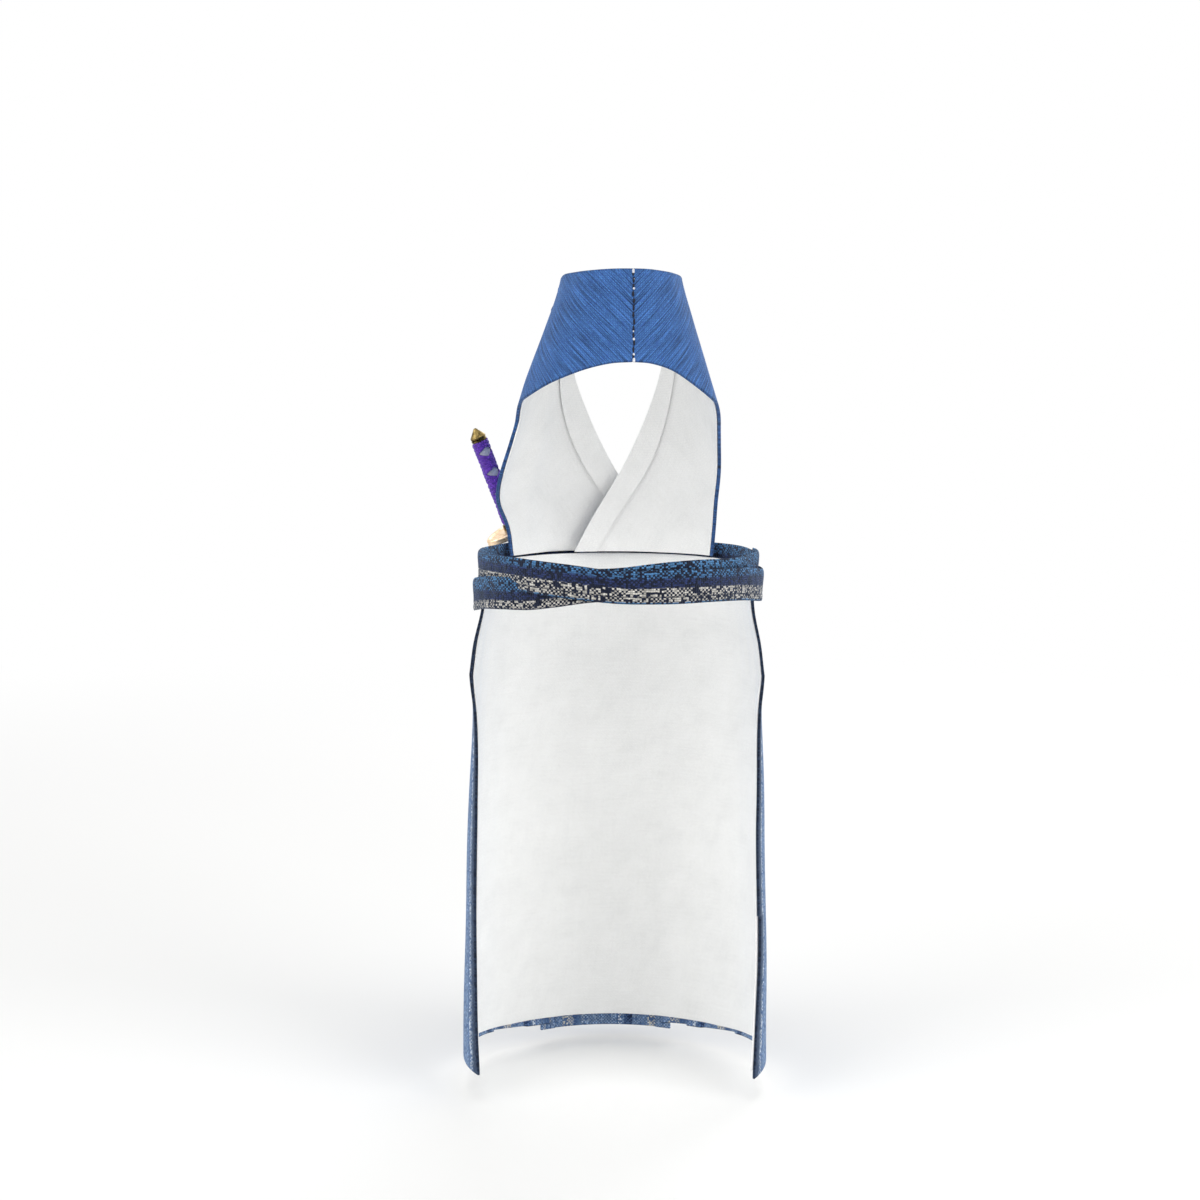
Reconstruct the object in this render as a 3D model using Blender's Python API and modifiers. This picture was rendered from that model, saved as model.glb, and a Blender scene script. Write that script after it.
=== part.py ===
"""Cloth bottle cover in the form of a warrior's dress, in the shape that it has when worn.

A blue jacket stands round the bottle's neck and closes left over right in front. A pleated striped skirt
hangs from the waistband, whose two ties cross behind and are knotted in front. A small sword is pushed under
the tie. The frame: Z is the bottle's axis, the origin is the centre of the neck opening at the collar's top
edge, +Y is the wearer's front, and -X is the wearer's left. Angles round the axis are counted from the front,
left negative.
"""
import math

import bmesh
import bpy
import numpy as np
from mathutils import Matrix, Vector

# Driving dimensions, in metres.
BOTTLE_RADIUS = 0.039
NECK_RADIUS = 0.0155
COVER_DROP = 0.236
CLOTH = 0.0005
LINING = 0.0004
SEAT_GAP = 0.0003
LAYER_GAP = 0.00035
WEAR_GAP = 0.0010
OVERRUN = 0.002
MERGE = 0.000001

# Jacket: where its cloth stands, against the bottle's radius and the neck's, down the cover.
COLLAR_TWIST = 12.0
ARCH_TWIST = 8.6
BOTTLE_DROP_SHARES = (-0.02, 0.10, 0.161, 0.189, 0.246, 0.294, 0.339, 0.373, 0.449, 0.53, 1.0)
BOTTLE_RADIUS_SHARES = (0.397, 0.397, 0.554, 0.636, 0.733, 0.846, 0.910, 0.946, 0.992, 1.0, 1.0)
SIDE_DROP_SHARES = (-0.02, 0.0, 0.05, 0.10, 0.1525, 0.203, 0.258, 0.305, 0.36, 0.42)
SIDE_RADIUS_SHARES = (0.410, 0.421, 0.507, 0.604, 0.704, 0.799, 0.897, 0.947, 0.985, 1.0)
BACK_DROP_SHARES = (-0.02, 0.0, 0.10, 0.16, 0.42)
BACK_NECK_SHARES = (1.085, 1.10, 1.19, 1.45, 2.2)

# The jacket's two borders as angle from the front and share of the drop: the top edge with the neckline, and
# the arch over the back with the side edge.
NECKLINE_ANGLES = (180.0, 166.0, 150.0, 125.0, 102.0, 86.0, 70.0, 50.0, 28.0, 8.0, -8.0, -17.0)
NECKLINE_SHARES = (
    -0.0078, -0.0076, -0.0062, -0.0024, 0.0028, 0.0080, 0.0200, 0.060, 0.146, 0.235, 0.305, 0.352,
)
LEFT_EDGE_ANGLES = (180.0, 166.0, 150.0, 132.0, 110.0, 92.0, 80.0, 78.5, 78.0, 74.0, 62.0, 56.0)
LEFT_EDGE_SHARES = (0.1025, 0.1045, 0.1125, 0.126, 0.145, 0.158, 0.179, 0.205, 0.245, 0.275, 0.312, 0.352)
RIGHT_EDGE_ANGLES = (180.0, 166.0, 150.0, 132.0, 110.0, 92.0, 78.0, 69.0, 60.0, 54.5, 51.0, 48.0)
RIGHT_EDGE_SHARES = (0.1025, 0.1045, 0.1125, 0.129, 0.148, 0.158, 0.179, 0.205, 0.245, 0.278, 0.315, 0.352)
JACKET_COLUMNS = 38
JACKET_ROWS = 6
LAP_START_ANGLE = 52.0
LAP_END_ANGLE = 24.0
SEAM_GAP_ANGLE = 0.6

# Strips along the neckline, from the shoulder to the waist.
STRIP_WIDTH = 0.0065
STRIP_CLOTH = 0.0005
STRIP_START_SHARE = 0.53
INNER_COLLAR = 0.0003
INNER_COLLAR_SHOW = 0.0022
INNER_COLLAR_TUCK = 0.0045
STRIP_ROWS = 2

# Hand stitches that close the seam at the centre of the back.
STITCH_PITCH = 0.0024
STITCH_LENGTH = 0.0016
STITCH_RADIUS = 0.00022
STITCH_DIP_SHARE = 0.55

# Skirt: half width and front depth down the drop, against the bottle's radius, and how its side edges turn.
WAIST_SHARE = 0.3565
SKIRT_DROP_SHARES = (0.3565, 0.41, 0.455, 0.494, 0.54, 0.65, 0.85, 1.0)
SKIRT_SIDE_SHARES = (0.975, 0.993, 1.039, 1.064, 1.069, 1.092, 1.122, 1.136)
SKIRT_FRONT_SHARES = (1.018, 1.020, 1.022, 1.025, 1.030, 1.046, 1.080, 1.105)
LEFT_SKIRT_EDGE_ANGLES = (93.0, 92.0, 90.5, 90.0, 96.0, 104.0, 109.0, 111.5)
RIGHT_SKIRT_EDGE_ANGLES = (93.0, 92.0, 90.5, 90.0, 96.0, 103.0, 107.5, 110.0)
SKIRT_TURN = 0.0012
SKIRT_TURN_SHARES = (0.0, 0.2, 0.6, 0.75, -0.6, -1.0, -1.0, -1.0)
EDGE_TURN_ANGLE = 16.0
PLEAT_DEPTH = 0.0011
PLEAT_EDGE_ANGLES = (36.0, 62.0)
PLEAT_STEP_ANGLE = 1.6
CENTRE_PLEAT_WIDTH = 0.0375
CENTRE_PLEAT_SHIFT = -0.0025
CENTRE_PLEAT_LIFT = 0.0004
SIDE_HEM_RISE = 0.0022
HEM_RISE_POWER = 8
PLEAT_TUCK = 0.002
PLEAT_TOP_SHARE = 0.15
PLEAT_OPEN_SHARE = 0.25
SKIRT_ROWS = 12
SIDE_COLUMN_ANGLE = 3.6
CENTRE_COLUMNS = 10
LINING_COLUMNS = 56
LINING_SHORT_ANGLE = 2.0

# Waistband and ties, all of one striped strip folded flat.
BELT_WIDTH = 0.009
BELT_CLOTH = 0.0009
WAISTBAND_TOP_SHARE = 0.338
WAISTBAND_END_ANGLE = 80.0
WAISTBAND_SIDE_CLEAR = 0.0006
WAISTBAND_COLUMNS = 36
TIE_ROWS = 2
TIE_COLUMNS = 72
# Tie A runs from the waistband's left end over the back to the knot, and tie B the other way and under it.
# Angles here are counted from the back, towards the side that the tie ends on.
TIE_A_ANGLES = (-99.4, -85.0, -65.0, -35.0, 0.0, 35.0, 65.0, 85.0, 110.0, 140.0, 173.0)
TIE_A_DROP_SHARES = (0.3545, 0.3545, 0.3545, 0.3580, 0.3620, 0.3660, 0.3705, 0.3745, 0.3745, 0.3720, 0.3700)
TIE_A_REACH_SHARES = (1.029, 1.029, 1.016, 0.990, 0.982, 0.990, 1.022, 1.064, 1.064, 1.080, 1.100)
TIE_A_WIDTH_SHARES = (1.0,) * len(TIE_A_ANGLES)
TIE_B_ANGLES = (-99.4, -85.0, -65.0, -35.0, 0.0, 35.0, 56.0, 70.0, 82.0, 95.0, 112.0, 140.0, 173.0)
TIE_B_DROP_SHARES = (
    0.3560, 0.3550, 0.3540, 0.3560, 0.3610, 0.3675, 0.3810, 0.3935, 0.3950, 0.3945, 0.3900, 0.3790, 0.3700
)
TIE_B_REACH_SHARES = (
    1.029, 1.028, 0.990, 0.958, 0.952, 0.958, 0.972, 0.992, 1.045, 1.066, 1.070, 1.080, 1.100,
)
TIE_B_WIDTH_SHARES = (1.0, 1.0, 1.0, 1.0, 1.0, 1.0, 0.94, 0.84, 0.84, 0.86, 0.92, 1.0, 1.0)
TIE_OVER_START_ANGLE = 92.0
TIE_OVER_END_ANGLE = 104.0
SWORD_HUMP_ANGLE = 8.5

# Knot in front with the ties' two free ends.
KNOT_WIDTH = 0.0105
KNOT_HEIGHT = 0.0110
KNOT_DEPTH = 0.0060
KNOT_PINCH_SHARE = 0.22
TIE_END_LENGTH = 0.028
TIE_END_SPREAD_ANGLE = 8.0
TIE_END_NARROW_SHARE = 0.62
TIE_END_WIDEN_SHARE = 0.33
TIE_END_SETTLE_SHARE = 0.71
TIE_END_COLUMNS = 10

# Sword: its straight axis leans out to the wearer's left, and every section is an oval, width by depth.
SWORD_LEAN_SHARE = 0.342
SWORD_BACK_SHARE = 0.196
SWORD_BELT_ANGLE = -37.8
SWORD_BELT_SHARE = 0.373
GUARD_ABOVE_BELT = 0.0126
SCABBARD_LENGTH = 0.088
SCABBARD_WIDTH = 0.0050
SCABBARD_DEPTH = 0.0036
SCABBARD_END_SHARE = 0.86
SLOT_WIDTH = 0.0034
SLOT_DEPTH = 0.0018
MOUTH_RING_LENGTH = 0.0026
MOUTH_RING_PROUD = 0.0002
TIP_CAP_LENGTH = 0.0042
TIP_CAP_SHARES = ((1.0, 0.5), (0.85, 0.82), (0.55, 1.0), (0.0, 1.0))
BLADE_WIDTH = 0.0026
BLADE_DEPTH = 0.0010
BLADE_POINT = 0.0050
BLADE_POINT_SHARES = (0.12, 0.3)
BLADE_SHOULDER_SHARE = 0.85
BLADE_END_GAP = 0.0030
BLADE_COLLAR_LENGTH = 0.0035
BLADE_COLLAR_WIDTH = 0.0028
BLADE_COLLAR_DEPTH = 0.0012
GUARD_WIDTH = 0.0200
GUARD_DEPTH = 0.0122
GUARD_THICKNESS = 0.0018
GUARD_RIM = 0.0012
GUARD_DISH = 0.0003
HILT_COLLAR_LENGTH = 0.0018
HILT_COLLAR_PROUD = 0.0003
HILT_LENGTH = 0.0268
HILT_WIDTH = 0.0052
HILT_DEPTH = 0.0043
WRAP_CLOTH = 0.0006
WINDOW_COUNT = 4
WINDOW_LENGTH = 0.0042
WINDOW_WIDTH_SHARE = 0.50
POMMEL_BASE_LENGTH = 0.0013
POMMEL_WIDTH = 0.0050
POMMEL_TIP_LENGTH = 0.0026
POMMEL_GROOVE = 0.0003
POMMEL_FACETS = 6
POMMEL_TABLE_SHARE = 0.09
OVAL_POINTS = 24
FINE_BEVEL = 0.0002


def clear_scene():
    """Removes what the scene holds."""
    for item in list(bpy.data.objects):
        bpy.data.objects.remove(item, do_unlink=True)


def make_collection(name):
    """A collection of this name in the scene."""
    made = bpy.data.collections.new(name)
    bpy.context.scene.collection.children.link(made)
    return made


def make_material(name, colour, roughness, metallic=0.0):
    """A plain material of one colour."""
    made = bpy.data.materials.new(name)
    made.use_nodes = True
    shader = made.node_tree.nodes["Principled BSDF"]
    shader.inputs["Base Color"].default_value = (*colour, 1.0)
    shader.inputs["Roughness"].default_value = roughness
    shader.inputs["Metallic"].default_value = metallic
    made.diffuse_color = (*colour, 1.0)
    return made


def smooth_table(at, places, values):
    """Values of a smooth curve through the table: cubic pieces with the mean of their neighbours' slopes."""
    x = np.asarray(places, float)
    y = np.asarray(values, float)
    flat = np.diff(y) / np.diff(x)
    slope = np.concatenate([flat[:1], (flat[1:] + flat[:-1]) / 2, flat[-1:]])
    at = np.clip(np.asarray(at, float), x[0], x[-1])
    i = np.clip(np.searchsorted(x, at, side="right") - 1, 0, len(x) - 2)
    wide = x[i + 1] - x[i]
    t = (at - x[i]) / wide
    first = y[i] * (1 + 2 * t) * (1 - t) ** 2 + slope[i] * wide * t * (1 - t) ** 2
    return first + y[i + 1] * t * t * (3 - 2 * t) + slope[i + 1] * wide * t * t * (t - 1)


def ease(t):
    """A smooth step from 0 to 1."""
    t = np.clip(t, 0.0, 1.0)
    return t * t * (3.0 - 2.0 * t)


def bottle_radius(share):
    """The bottle's radius at a share of the drop."""
    return BOTTLE_RADIUS * smooth_table(share, BOTTLE_DROP_SHARES, BOTTLE_RADIUS_SHARES)


def place(angle, share, side, front, back, offset):
    """A point of a ring that is half an oval in front and half an oval behind, pushed out by the offset."""
    turn = np.radians(angle)
    depth = np.where(np.cos(turn) > 0.0, front, back)
    x = (side + offset) * np.sin(turn)
    y = (depth + offset) * np.cos(turn)
    return np.stack([x, y, -share * COVER_DROP + 0.0 * x], axis=-1)


def on_jacket(angle, share, offset):
    """A point of the jacket's cloth, which stands off the bottle at the sides and lies close elsewhere."""
    side = BOTTLE_RADIUS * smooth_table(share, SIDE_DROP_SHARES, SIDE_RADIUS_SHARES)
    front = bottle_radius(share) + WEAR_GAP
    back = NECK_RADIUS * smooth_table(share, BACK_DROP_SHARES, BACK_NECK_SHARES)
    return place(angle, share, side, front, back, offset)


def skirt_edge(share, side):
    """Angle from the front of the skirt's side edge on the left or the right, at a share of the drop."""
    angles = LEFT_SKIRT_EDGE_ANGLES if side < 0 else RIGHT_SKIRT_EDGE_ANGLES
    return smooth_table(share, SKIRT_DROP_SHARES, angles)


def on_skirt(angle, share, offset):
    """A point of the skirt's inner face, whose side edges turn out at the knee and in further down."""
    side = BOTTLE_RADIUS * smooth_table(share, SKIRT_DROP_SHARES, SKIRT_SIDE_SHARES)
    front = BOTTLE_RADIUS * smooth_table(share, SKIRT_DROP_SHARES, SKIRT_FRONT_SHARES)
    edge = np.where(angle < 0.0, skirt_edge(share, -1), skirt_edge(share, 1))
    turn = SKIRT_TURN * smooth_table(share, SKIRT_DROP_SHARES, SKIRT_TURN_SHARES)
    near = np.clip((np.abs(angle) - edge + EDGE_TURN_ANGLE) / EDGE_TURN_ANGLE, 0.0, 1.0)
    return place(angle, share, side, front, side, offset + turn * near * near)


def grid_object(name, points):
    """An object whose faces join the rows and columns of a grid of points."""
    rows, columns = points.shape[:2]
    index = np.arange(rows * columns).reshape(rows, columns)
    faces = np.stack([index[:-1, :-1], index[:-1, 1:], index[1:, 1:], index[1:, :-1]], axis=-1).reshape(-1, 4)
    mesh = bpy.data.meshes.new(name)
    mesh.from_pydata(points.reshape(-1, 3).tolist(), [], faces.tolist())
    return add_object(name, mesh)


def add_object(name, mesh, collection=None):
    """Links a mesh into the cover's collection, or into another, under a plain name."""
    made = bpy.data.objects.new(name, mesh)
    (collection or COVER).objects.link(made)
    return made


def face_out(item):
    """Turns an open cloth's faces away from the bottle's axis."""
    mesh = bmesh.new()
    mesh.from_mesh(item.data)
    away = sum(f.normal.dot(Vector((*f.calc_center_median()[:2], 0.0))) * f.calc_area() for f in mesh.faces)
    if away < 0.0:
        bmesh.ops.reverse_faces(mesh, faces=mesh.faces)
    mesh.to_mesh(item.data)
    mesh.free()


def make_cloth(name, points, thickness, material):
    """A cloth of even thickness that lies outside the given inner face."""
    made = grid_object(name, points)
    face_out(made)
    wall = made.modifiers.new("Thickness", "SOLIDIFY")
    wall.thickness = thickness
    wall.offset = 1.0
    made.data.materials.append(material)
    made.data.shade_smooth()
    return made


def jacket_borders(side):
    """The neckline and the outer border of one half as rows of angle and drop share, the seam first."""
    edge_angles = LEFT_EDGE_ANGLES if side < 0 else RIGHT_EDGE_ANGLES
    edge_shares = LEFT_EDGE_SHARES if side < 0 else RIGHT_EDGE_SHARES
    steps = np.linspace(0.0, 1.0, len(NECKLINE_ANGLES))
    at = np.linspace(0.0, 1.0, JACKET_COLUMNS + 1)
    borders = []
    halves = ((NECKLINE_ANGLES, NECKLINE_SHARES, COLLAR_TWIST), (edge_angles, edge_shares, ARCH_TWIST))
    for angles, shares, twist in halves:
        angle = smooth_table(at, steps, angles)
        share = smooth_table(at, steps, shares)
        # The collar is turned on the neck, and the turn fades out towards the side corners.
        angle = angle - side * twist * np.clip((angle - 90.0) / 90.0, 0.0, 1.0)
        angle[0] -= SEAM_GAP_ANGLE
        borders.append(np.stack([angle, share], axis=-1))
    return borders


def lap_height():
    """The right front's layers under the left one: lining, cloth, strip and the left's white collar."""
    return LINING + CLOTH + STRIP_CLOTH + INNER_COLLAR + 5.0 * LAYER_GAP


def lap_lift(angle, side):
    """How far the left front is lifted where it lies over the right one and its neckline strip."""
    if side > 0:
        return 0.0 * angle
    return lap_height() * ease((LAP_START_ANGLE - angle) / (LAP_START_ANGLE - LAP_END_ANGLE))


def jacket_grid(side, offset, across=None):
    """Inner face of one jacket half at an offset from the lining's inner face.

    Each column runs from the neckline to the outer border. Where distances across are given, the grid starts at
    the shoulder and its columns have points at those distances from the neckline, a negative one beyond it.
    """
    neck, edge = jacket_borders(side)
    if across is None:
        v = np.linspace(0.0, 1.0, JACKET_ROWS + 1)[:, None] + 0.0 * neck[None, :, 0]
    else:
        first = int(STRIP_START_SHARE * JACKET_COLUMNS)
        neck = neck[first:]
        edge = edge[first:]
        ends = [on_jacket(b[:, 0], b[:, 1], 0.0) for b in (neck, edge)]
        v = np.asarray(across)[:, None] / np.linalg.norm(ends[1] - ends[0], axis=-1)[None, :]
    angle = neck[None, :, 0] * (1 - v) + edge[None, :, 0] * v
    share = neck[None, :, 1] * (1 - v) + edge[None, :, 1] * v
    return on_jacket(side * angle, share, offset + lap_lift(angle, side))


def make_jacket(side, word, blue, white):
    """One half of the jacket: lining, cloth, the strip along its neckline and the white inner collar."""
    make_cloth(f"jacket_lining_{word}", jacket_grid(side, 0.0), LINING, white)
    over_lining = LINING + LAYER_GAP
    make_cloth(f"jacket_{word}", jacket_grid(side, over_lining), CLOTH, blue)
    over_cloth = over_lining + CLOTH + LAYER_GAP
    strip = np.linspace(0.0, STRIP_WIDTH, STRIP_ROWS + 1)
    make_cloth(f"neckline_strip_{word}", jacket_grid(side, over_cloth, strip), STRIP_CLOTH, blue)
    inside = np.linspace(-INNER_COLLAR_SHOW, INNER_COLLAR_TUCK, STRIP_ROWS + 1)
    under_lining = -2.0 * LAYER_GAP - INNER_COLLAR
    make_cloth(f"inner_collar_{word}", jacket_grid(side, under_lining, inside), INNER_COLLAR, white)


def make_seam_stitches(thread):
    """The running stitch down the centre-back seam: one thread that dips into the cloth between stitches."""
    outer = LINING + LAYER_GAP + CLOTH + SEAT_GAP + STITCH_RADIUS
    top = NECKLINE_SHARES[0] * COVER_DROP + STITCH_LENGTH / 2
    end = LEFT_EDGE_SHARES[0] * COVER_DROP - STITCH_LENGTH / 2
    count = int((end - top) / STITCH_PITCH)
    drops = np.linspace(top, end, 4 * count + 1)
    twist = np.linspace(COLLAR_TWIST, ARCH_TWIST, len(drops))
    points = on_jacket(180.0 - twist, drops / COVER_DROP, outer)
    curve = bpy.data.curves.new("back_seam_stitches", "CURVE")
    curve.dimensions = "3D"
    curve.bevel_depth = STITCH_RADIUS
    curve.bevel_resolution = 1
    curve.use_fill_caps = True
    line = curve.splines.new("POLY")
    line.points.add(len(points) - 1)
    for spot, at, k in zip(line.points, points, range(len(points))):
        spot.co = (*at, 1.0)
        spot.radius = STITCH_DIP_SHARE if k % 4 == 3 else 1.0
    made = bpy.data.objects.new("back_seam_stitches", curve)
    COVER.objects.link(made)
    curve.materials.append(thread)
    return made


def centre_pleat_angles():
    """The centre pleat's left and right edges, as angles from the front."""
    reach = BOTTLE_RADIUS * SKIRT_FRONT_SHARES[-1]
    left = math.degrees(math.asin((CENTRE_PLEAT_SHIFT - CENTRE_PLEAT_WIDTH / 2) / reach))
    right = math.degrees(math.asin((CENTRE_PLEAT_SHIFT + CENTRE_PLEAT_WIDTH / 2) / reach))
    return left, right


def pleat_height(angle, start):
    """The knife pleats' height: each rises slowly outwards to its fold and drops in a short step."""
    height = 0.0 * angle
    for end in PLEAT_EDGE_ANGLES:
        rise = np.clip((angle - start) / (end - start), 0.0, 1.0)
        fall = np.clip((angle - end) / PLEAT_STEP_ANGLE, 0.0, 1.0)
        height = height + PLEAT_DEPTH * (rise - fall) * (angle >= start)
        start = end + PLEAT_STEP_ANGLE
    return height


def skirt_columns(start):
    """Shares across a panel from its inner edge to its side edge, with columns at each fold's top and foot."""
    edge = LEFT_SKIRT_EDGE_ANGLES[0]
    stops = [start]
    for fold in PLEAT_EDGE_ANGLES:
        stops += [fold, fold + PLEAT_STEP_ANGLE]
    stops.append(edge)
    angles = [start]
    for first, last in zip(stops, stops[1:]):
        count = max(1, round((last - first) / SIDE_COLUMN_ANGLE))
        angles += list(np.linspace(first, last, count + 1))[1:]
    return (np.array(angles) - start) / (edge - start)


def skirt_rows(v, rise):
    """Drop shares of a skirt layer's rows from the waist to its hem, whose last rows go up by the rise."""
    return WAIST_SHARE + v * (1.0 - WAIST_SHARE) - v**HEM_RISE_POWER * rise / COVER_DROP


def make_side_panel(side, word, stripe):
    """One side of the skirt, with two knife pleats, from under the centre pleat round to the side edge."""
    covered = abs(centre_pleat_angles()[0 if side < 0 else 1])
    start = covered - math.degrees(PLEAT_TUCK / BOTTLE_RADIUS)
    shares = skirt_columns(start)
    top_edge = LEFT_SKIRT_EDGE_ANGLES[0]
    flat_angle = start + shares * (top_edge - start)
    lift = pleat_height(flat_angle, covered)[None, :]
    v = np.linspace(0.0, 1.0, SKIRT_ROWS + 1)[:, None]
    share = skirt_rows(v, SIDE_HEM_RISE * (1.0 - shares)[None, :])
    edge = skirt_edge(share, side)
    fold = PLEAT_EDGE_ANGLES[-1]
    last = np.clip((flat_angle - fold) / (top_edge - fold), 0.0, 1.0)[None, :]
    angle = flat_angle[None, :] + (edge - top_edge) * last
    opened = ease(PLEAT_TOP_SHARE + v / PLEAT_OPEN_SHARE)
    points = on_skirt(side * angle, share, LINING + LAYER_GAP + lift * opened)
    return make_cloth(f"skirt_panel_{word}", points, CLOTH, stripe)


def make_centre_pleat(stripe):
    """The box pleat down the front, whose edges lie over the side panels."""
    left, right = centre_pleat_angles()
    shares = np.linspace(0.0, 1.0, CENTRE_COLUMNS + 1)
    angle = (left + shares * (right - left))[None, :]
    v = np.linspace(0.0, 1.0, SKIRT_ROWS + 1)[:, None]
    share = skirt_rows(v, 0.0 * angle)
    bow = 1.0 - (2.0 * shares - 1.0) ** 2
    over = LINING + CLOTH + 2.0 * LAYER_GAP
    points = on_skirt(angle + 0.0 * v, share, over + CENTRE_PLEAT_LIFT * bow[None, :] * v)
    return make_cloth("skirt_centre_pleat", points, CLOTH, stripe)


def make_skirt_lining(white):
    """The white lining behind the whole skirt, a little short of its hem."""
    u = np.linspace(-1.0, 1.0, LINING_COLUMNS + 1)[None, :]
    v = np.linspace(0.0, 1.0, SKIRT_ROWS + 1)[:, None]
    share = skirt_rows(v, 2.0 * SIDE_HEM_RISE + 0.0 * u)
    edge = np.where(u < 0.0, skirt_edge(share, -1), skirt_edge(share, 1))
    return make_cloth("skirt_lining", on_skirt(u * (edge - LINING_SHORT_ANGLE), share, 0.0), LINING, white)


def waistband_radius(angle, offset):
    """Distance from the axis to the waistband's inner face, and an offset more, at an angle from the front.

    It is an oval: close on the skirt at the sides, and clear of the lapped jacket fronts in front.
    """
    side = BOTTLE_RADIUS * SKIRT_SIDE_SHARES[0] + LINING + LAYER_GAP + CLOTH + WAISTBAND_SIDE_CLEAR
    layers = LINING + CLOTH + STRIP_CLOTH + 3.0 * LAYER_GAP + SEAT_GAP
    front = float(bottle_radius(NECKLINE_SHARES[-1])) + WEAR_GAP + lap_height() + layers
    turn = np.radians(angle)
    return 1.0 / np.sqrt((np.sin(turn) / side) ** 2 + (np.cos(turn) / front) ** 2) + offset


def make_waistband(belt):
    """The striped band across the front, over the seam between jacket and skirt."""
    angle = np.linspace(-WAISTBAND_END_ANGLE, WAISTBAND_END_ANGLE, WAISTBAND_COLUMNS + 1)[None, :]
    v = np.linspace(0.0, 1.0, TIE_ROWS + 1)[:, None]
    radius = waistband_radius(angle, 0.0)
    x = radius * np.sin(np.radians(angle))
    y = radius * np.cos(np.radians(angle))
    z = -WAISTBAND_TOP_SHARE * COVER_DROP - v * BELT_WIDTH
    points = np.stack([x + 0.0 * v, y + 0.0 * v, z + 0.0 * x], axis=-1)
    return make_cloth("waistband", points, BELT_CLOTH, belt)


def sword_axis(height):
    """Angle from the front and distance from the bottle's axis of the sword's axis at a height."""
    frame = sword_frame()
    up = np.array(frame.col[2][:3])
    guard = np.array(frame.translation)
    at = guard + up * ((np.asarray(height)[..., None] - guard[2]) / up[2])
    return np.degrees(np.arctan2(at[..., 0], at[..., 1])), np.hypot(at[..., 0], at[..., 1])


def make_tie(word, turn, angles, drops, reaches, widths, belt):
    """A tie round the back: its middle line, inner reach and width follow tables along the angle.

    In front it lies on the waistband, and it is pushed out where the scabbard passes under it.
    """
    at = np.linspace(angles[0], angles[-1], TIE_COLUMNS + 1)[None, :]
    v = np.linspace(-0.5, 0.5, TIE_ROWS + 1)[:, None]
    width = BELT_WIDTH * smooth_table(at, angles, widths)
    z = -COVER_DROP * smooth_table(at, angles, drops) - v * width
    reach = BOTTLE_RADIUS * smooth_table(at, angles, reaches) + 0.0 * v
    from_front = np.where(turn * at > 0.0, 180.0, -180.0) - turn * at
    over = ease((at - TIE_OVER_START_ANGLE) / (TIE_OVER_END_ANGLE - TIE_OVER_START_ANGLE))
    reach = reach * (1.0 - over) + waistband_radius(from_front, BELT_CLOTH + SEAT_GAP) * over
    if turn < 0:
        sword_angle, sword_reach = sword_axis(z)
        away = (from_front - sword_angle) / SWORD_HUMP_ANGLE
        needed = sword_reach + SCABBARD_DEPTH / 2 + 2.0 * SEAT_GAP
        reach = reach + np.maximum(needed - reach, 0.0) * over * np.exp(-(away**4))
    x = reach * np.sin(np.radians(turn * at))
    y = -reach * np.cos(np.radians(turn * at))
    return make_cloth(f"belt_tie_{word}", np.stack([x, y, z], axis=-1), BELT_CLOTH, belt)


def knot_front():
    """How far in front of the axis the knot's middle lies."""
    return float(waistband_radius(0.0, BELT_CLOTH + SEAT_GAP)) + KNOT_DEPTH / 2


def make_knot(belt):
    """The ties' knot: a rounded pad, pinched where the last turn crosses it."""
    mesh = bpy.data.meshes.new("tie_knot")
    cage = bmesh.new()
    bmesh.ops.create_cube(cage, size=1.0)
    bmesh.ops.subdivide_edges(cage, edges=cage.edges[:], cuts=2, use_grid_fill=True)
    for vertex in cage.verts:
        pinch = 1.0 - KNOT_PINCH_SHARE * (abs(vertex.co.z) < 0.25)
        vertex.co.x *= KNOT_WIDTH * pinch
        vertex.co.y *= KNOT_DEPTH
        vertex.co.z *= KNOT_HEIGHT
    cage.to_mesh(mesh)
    cage.free()
    made = add_object("tie_knot", mesh)
    made.location = (0.0, knot_front(), -TIE_A_DROP_SHARES[-1] * COVER_DROP)
    soft = made.modifiers.new("Softness", "SUBSURF")
    soft.levels = 1
    soft.render_levels = 1
    mesh.materials.append(belt)
    mesh.shade_smooth()
    return made


def make_tie_end(word, side, belt):
    """One free end of the ties, which hangs from the knot, spreads sideways and lies against the skirt."""
    t = np.linspace(0.0, 1.0, TIE_END_COLUMNS + 1)[:, None]
    v = np.linspace(-0.5, 0.5, TIE_ROWS + 1)[None, :]
    lean = math.radians(side * TIE_END_SPREAD_ANGLE)
    start_drop = TIE_A_DROP_SHARES[-1] * COVER_DROP + KNOT_HEIGHT / 2 + SEAT_GAP
    along = t * TIE_END_LENGTH
    spread = ease(t / TIE_END_WIDEN_SHARE)
    width = BELT_WIDTH * (TIE_END_NARROW_SHARE * (1.0 - spread) + spread)
    x = side * KNOT_WIDTH / 4 + along * math.sin(lean) + v * width * math.cos(lean)
    z = -start_drop - along * math.cos(lean) + v * width * math.sin(lean)
    z = np.minimum(z, -start_drop)
    share = -z / COVER_DROP
    front = BOTTLE_RADIUS * smooth_table(share, SKIRT_DROP_SHARES, SKIRT_FRONT_SHARES)
    skin = front + LINING + 2.0 * LAYER_GAP + 2.0 * CLOTH + CENTRE_PLEAT_LIFT + 2.0 * SEAT_GAP
    layer = (BELT_CLOTH + LAYER_GAP) * (side > 0)
    settle = ease(t / TIE_END_SETTLE_SHARE)
    y = knot_front() * (1.0 - settle) + skin * settle + layer
    points = np.stack([x, y + 0.0 * x, z], axis=-1)
    return make_cloth(f"tie_end_{word}", points, BELT_CLOTH, belt)


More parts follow.
